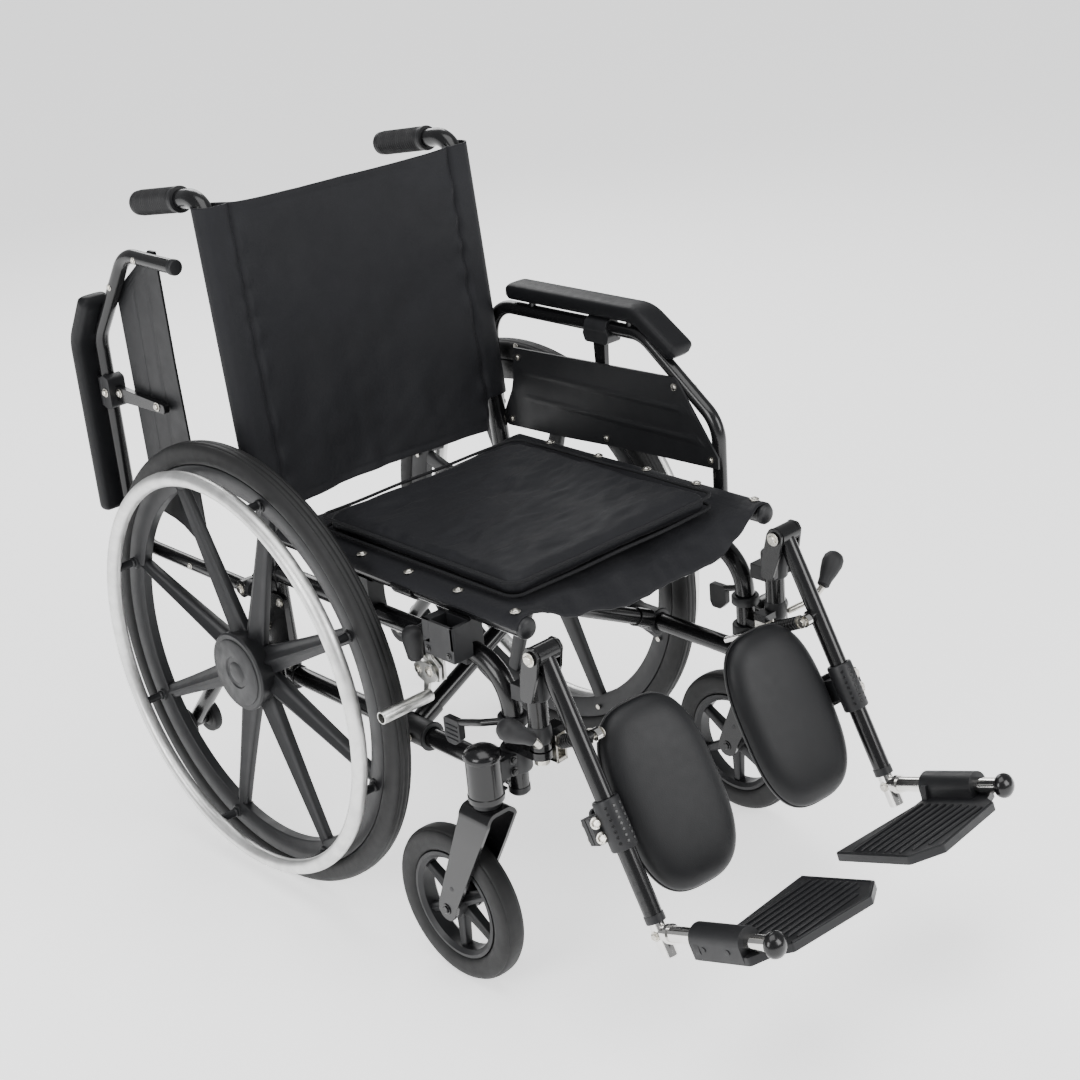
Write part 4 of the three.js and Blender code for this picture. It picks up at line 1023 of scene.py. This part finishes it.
def cloth(name, points, material, thick, stands_for):
    """A sheet from a grid of points, in millimetres: it gets a map in metres of cloth and a real thickness."""
    rows, columns = points.shape[:2]
    thing = piece(name, [(skin(points, wrap_v=False), material)], None, stands_for)
    mesh = thing.data
    across, down = lengths(points[rows // 2]), lengths(points[:, columns // 2])
    grid = np.stack(np.meshgrid(across, down), -1).reshape(-1, 2) * 0.001
    corners = np.zeros(len(mesh.loops), int)
    mesh.loops.foreach_get("vertex_index", corners)
    tree = {tuple(np.round(p, 6)): i for i, p in enumerate(
        ((points.reshape(-1, 3) + (0, AXLE_Y, 0)) * 0.001).astype(np.float32).astype(float))}
    order = np.array([tree.get(tuple(np.round(v.co, 6)), 0) for v in mesh.vertices])
    layer = mesh.uv_layers.new(name="cloth")
    layer.data.foreach_set("uv", grid[order][corners].ravel())
    wall = thing.modifiers.new("thickness", "SOLIDIFY")
    wall.thickness = thick * 0.001
    wall.offset = 0
    wall.use_even_offset = False
    return thing


s = np.linspace(-1, 1, 181)[None, :]
t = np.linspace(0, 1, 150)[:, None]
HALF_SEAT = FRAME_X
reach = HALF_SEAT + 20
x = s * reach
over = (np.abs(x) - (HALF_SEAT - 2)).clip(0)
# Past the rail's crown the cloth turns down round it, on a circle of its outer radius.
around = TUBE_R + 2.4
bend_angle = over / around
wide = np.where(over > 0, np.sign(x) * (HALF_SEAT - 2 + around * np.sin(bend_angle)), x)
inside = (1 - (x / (HALF_SEAT - 18)) ** 2).clip(0, 1)
start_y, end_y = -36, -486
nose = 20 * (1 - (np.abs(x) / (HALF_SEAT - 12)) ** 3).clip(0, 1)
y = start_y + (end_y - nose - start_y) * t
z = RAIL_Z + TUBE_R + 1.9 - 12 * inside - around * (1 - np.cos(bend_angle))
past = (-462 - y).clip(0)
z = z - 0.011 * past ** 2 * np.clip(inside * 3, 0, 1)
z = z + ripples(x, y, 3) * np.clip(inside * 2, 0, 1) * (0.3 + 1.7 * np.exp(-((y + 500) / 50) ** 2))
pull = sum(np.exp(-((y - screw) / 16) ** 2) for screw in SCREWS)
z = z - 1.2 * pull * np.exp(-((np.abs(x) - 182) / 11) ** 2)
# Two rows of stitching dip into the cloth beside each rail and along the front hem.
for seam in (186, 174):
    z = z - 0.7 * np.exp(-((np.abs(x) - seam) / 1.8) ** 2)
for seam in (10, 26):
    z = z - 0.8 * np.exp(-((y - (end_y - nose) - seam) / 2.0) ** 2)
points = np.stack([wide + 0 * t, y + 0 * x, z], -1)
sling = cloth("seat_cloth", points, nylon, 2.6, ["seat_sling"])
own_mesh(sling)
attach(sling, "seat")


# ---- Seat cushion ----
# A thin foam pad in a loose nylon cover lies on the sling. Its sides are a sewn border strip, with a
# corded edge above and below, and the cover's top is slack and creased.
low, high = (corner * 1000 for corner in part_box("seat_cushion"))


def puffed(thing, pressure, cap, frames=20, voxel=0.005):
    """Blows a closed mesh up a little with cloth, so it crowns and its sides draw in between corners:
    remesh, run the pressure, hold each point within cap metres of where it began, and keep the result."""
    remesh = thing.modifiers.new("remesh", "REMESH")
    remesh.mode = "VOXEL"
    remesh.voxel_size = voxel
    bpy.context.view_layer.objects.active = thing
    bpy.ops.object.modifier_apply(modifier="remesh")
    before = np.zeros(len(thing.data.vertices) * 3)
    thing.data.vertices.foreach_get("co", before)
    sim = thing.modifiers.new("sim", "CLOTH")
    sim.settings.quality = 5
    sim.settings.use_pressure = True
    sim.settings.uniform_pressure_force = pressure
    sim.settings.effector_weights.gravity = 0
    sim.point_cache.frame_start, sim.point_cache.frame_end = 1, frames
    for step in range(1, frames + 1):
        bpy.context.scene.frame_set(step)
    bpy.ops.object.modifier_apply(modifier="sim")
    bpy.context.scene.frame_set(1)
    after = np.zeros(len(before))
    thing.data.vertices.foreach_get("co", after)
    move = (after - before).reshape(-1, 3)
    far = np.linalg.norm(move, axis=1)[:, None]
    move *= np.minimum(1, cap / far.clip(1e-9))
    thing.data.vertices.foreach_set("co", (before.reshape(-1, 3) + move).ravel())
    thing.data.update()


x0, x1, y0, y1 = low.x, high.x, low.y - AXLE_Y, high.y - AXLE_Y
border = route([(x0 + 4, y0 + 4, 0), (x1 - 4, y0 + 4, 0), (x1 - 4, y1 - 4, 0), (x0 + 4, y1 - 4, 0)], 16, 8,
               closed=True)
slab = np.stack([border + (0, 0, low.z + 2.5), border + (0, 0, high.z - 6)])
cushion = piece("cushion", [(skin(slab), nylon)], None, ["seat_cushion"])
puffed(cushion, pressure=2.5, cap=0.006)
co = np.zeros(len(cushion.data.vertices) * 3)
cushion.data.vertices.foreach_get("co", co)
co = co.reshape(-1, 3)
px, py = co[:, 0] * 1000, co[:, 1] * 1000 - AXLE_Y
edge = np.minimum.reduce([px - x0, x1 - px, py - y0, y1 - py])
loose = (edge / 40).clip(0, 1)
top = ((co[:, 2] * 1000 - (low.z + high.z) / 2) / 8).clip(0, 1)
# The slack cover gathers in long low folds towards the front, and sinks along its inner seam.
fold = (1.3 * ripples(px * 0.45, py, 11, waves=18, longest=120, shortest=11)
        + 0.5 * ripples(px * 0.3, py * 1.1, 5, waves=10, longest=34, shortest=9)) * loose
fold -= 1.6 * np.exp(-((edge - 17) / 2.4) ** 2)
fold -= 3.5 * np.exp(-((px + 20) / 150) ** 2 - ((py + 260) / 120) ** 2)
co[:, 2] += top * fold * 0.001
cushion.data.vertices.foreach_set("co", co.ravel())
cushion.data.update()
smooth = cushion.modifiers.new("smooth", "SUBSURF")
smooth.levels = smooth.render_levels = 1
layer = cushion.data.uv_layers.new(name="cloth")
corners = np.zeros(len(cushion.data.loops), int)
cushion.data.loops.foreach_get("vertex_index", corners)
layer.data.foreach_set("uv", (co[:, :2] + co[:, 2:] * 0.7)[corners].ravel())
cushion.data.shade_smooth()
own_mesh(cushion)
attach(cushion, "seat")

cords = []
for z, out in ((high.z - 5.5, 1.5), (low.z + 4, 1.0)):
    line = route([(x0 + 2 - out, y0 + 2 - out, z), (x1 - 2 + out, y0 + 2 - out, z),
                  (x1 - 2 + out, y1 - 2 + out, z), (x0 + 2 - out, y1 - 2 + out, z)], 17, 10, closed=True)
    line, steps = evenly(line, 260)
    line[:, 2] += 0.5 * np.sin(steps / 23) + 0.4 * np.sin(steps / 61 + 1)
    _, first, second = directions(np.vstack([line, line[:1]]))
    turn = circle(10)[None, :, None]
    ring = line[:, None] + 2.1 * (np.cos(turn) * first[:-1, None] + np.sin(turn) * second[:-1, None])
    cords.append((skin(ring, wrap_u=True), binding))
piping = piece("cushion_piping", cords, None)
piping.data.uv_layers.new(name="cloth")
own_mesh(piping)
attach(piping, "seat")


# ---- Back upholstery ----
# One panel of the same nylon hangs between the canes. Its edges are sewn into sleeves that slide down
# over the canes, and it bellies backwards between the two seams.
BACK_LOW, BACK_HIGH = 548, 897
SLEEVE, DROP = 16.5, 45
t = np.linspace(0, 1, 170)[:, None]
# Across the sheet: behind each cane, round its outer side, then over the front to the middle.
seam_gap = 26.0
half_turn = math.pi * SLEEVE
flat = 178.0
total = seam_gap + half_turn + (seam_gap + flat)
u = np.linspace(0, total, 150)[None, :]
# Between the seams the panel hangs lower than its sleeves, and its edge runs down beside each seam.
lower = ((u - seam_gap - half_turn - 20) / 14).clip(0, 1)
edge_z = BACK_LOW - DROP * lower ** 2 * (3 - 2 * lower)
z = edge_z + (BACK_HIGH - edge_z) * t
cane_y = 1 + (z - RAIL_Z + 8) * 41 / 437
cane_x = FRAME_X - 2 * (z - 470) / 437
behind = u < seam_gap
bending = (u >= seam_gap) & (u < seam_gap + half_turn)
angle = (u - seam_gap) / SLEEVE
x_left = np.where(behind, cane_x - seam_gap + u, np.where(bending, cane_x + SLEEVE * np.sin(angle), 0))
y_left = np.where(behind, cane_y + SLEEVE, np.where(bending, cane_y + SLEEVE * np.cos(angle), 0))
after = (u - seam_gap - half_turn).clip(0)
front = ~(behind | bending)
x_front = cane_x * (1 - after / (total - seam_gap - half_turn))
x_left = np.where(front, x_front, x_left)
belly = 17 * (1 - (x_front / (FRAME_X - 26)) ** 2).clip(0) * np.sin(math.pi * (0.16 + 0.76 * t))
seam = 4.5 * np.exp(-((x_front - (FRAME_X - 26)) / 4.0) ** 2)
y_left = np.where(front, cane_y - SLEEVE + belly + seam, y_left)
# Behind, the sleeve's free edge is drawn forward to the seam.
y_left = y_left - np.where(behind, SLEEVE * 1.75 * (1 - u / seam_gap).clip(0) ** 1.6, 0)
x_all = np.concatenate([x_left, -x_left[:, ::-1][:, 1:]], 1)
y_all = np.concatenate([y_left, y_left[:, ::-1][:, 1:]], 1)
z_all = np.concatenate([z, z[:, ::-1][:, 1:]], 1)
middle = (1 - (np.abs(x_all) / (FRAME_X - 30)) ** 4).clip(0, 1)
droop = 0.5 + 1.2 * np.exp(-((z_all - BACK_LOW + 30) / 70) ** 2)
y_all = y_all - 0.9 * ripples(x_all, z_all * 0.6, 7, waves=15, longest=170, shortest=22) * middle * droop
tucks = np.sin(z_all / 7.5 + 2.1 * np.sin(z_all / 41)) * np.exp(-((np.abs(x_all) - (FRAME_X - 30)) / 11) ** 2)
y_all = y_all - 1.7 * tucks
z_all += -4 * middle * t ** 6 + 3 * middle * (1 - t) ** 8
for hem in (BACK_HIGH - 14, BACK_LOW - DROP + 12):
    y_all = y_all + 0.9 * np.exp(-((z_all - hem) / 1.9) ** 2) * middle
points = np.stack([x_all, y_all, z_all], -1)
back_cloth = cloth("back_cloth", points, nylon, 2.8, ["back_rest"])
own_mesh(back_cloth)
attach(back_cloth, "right_frame")
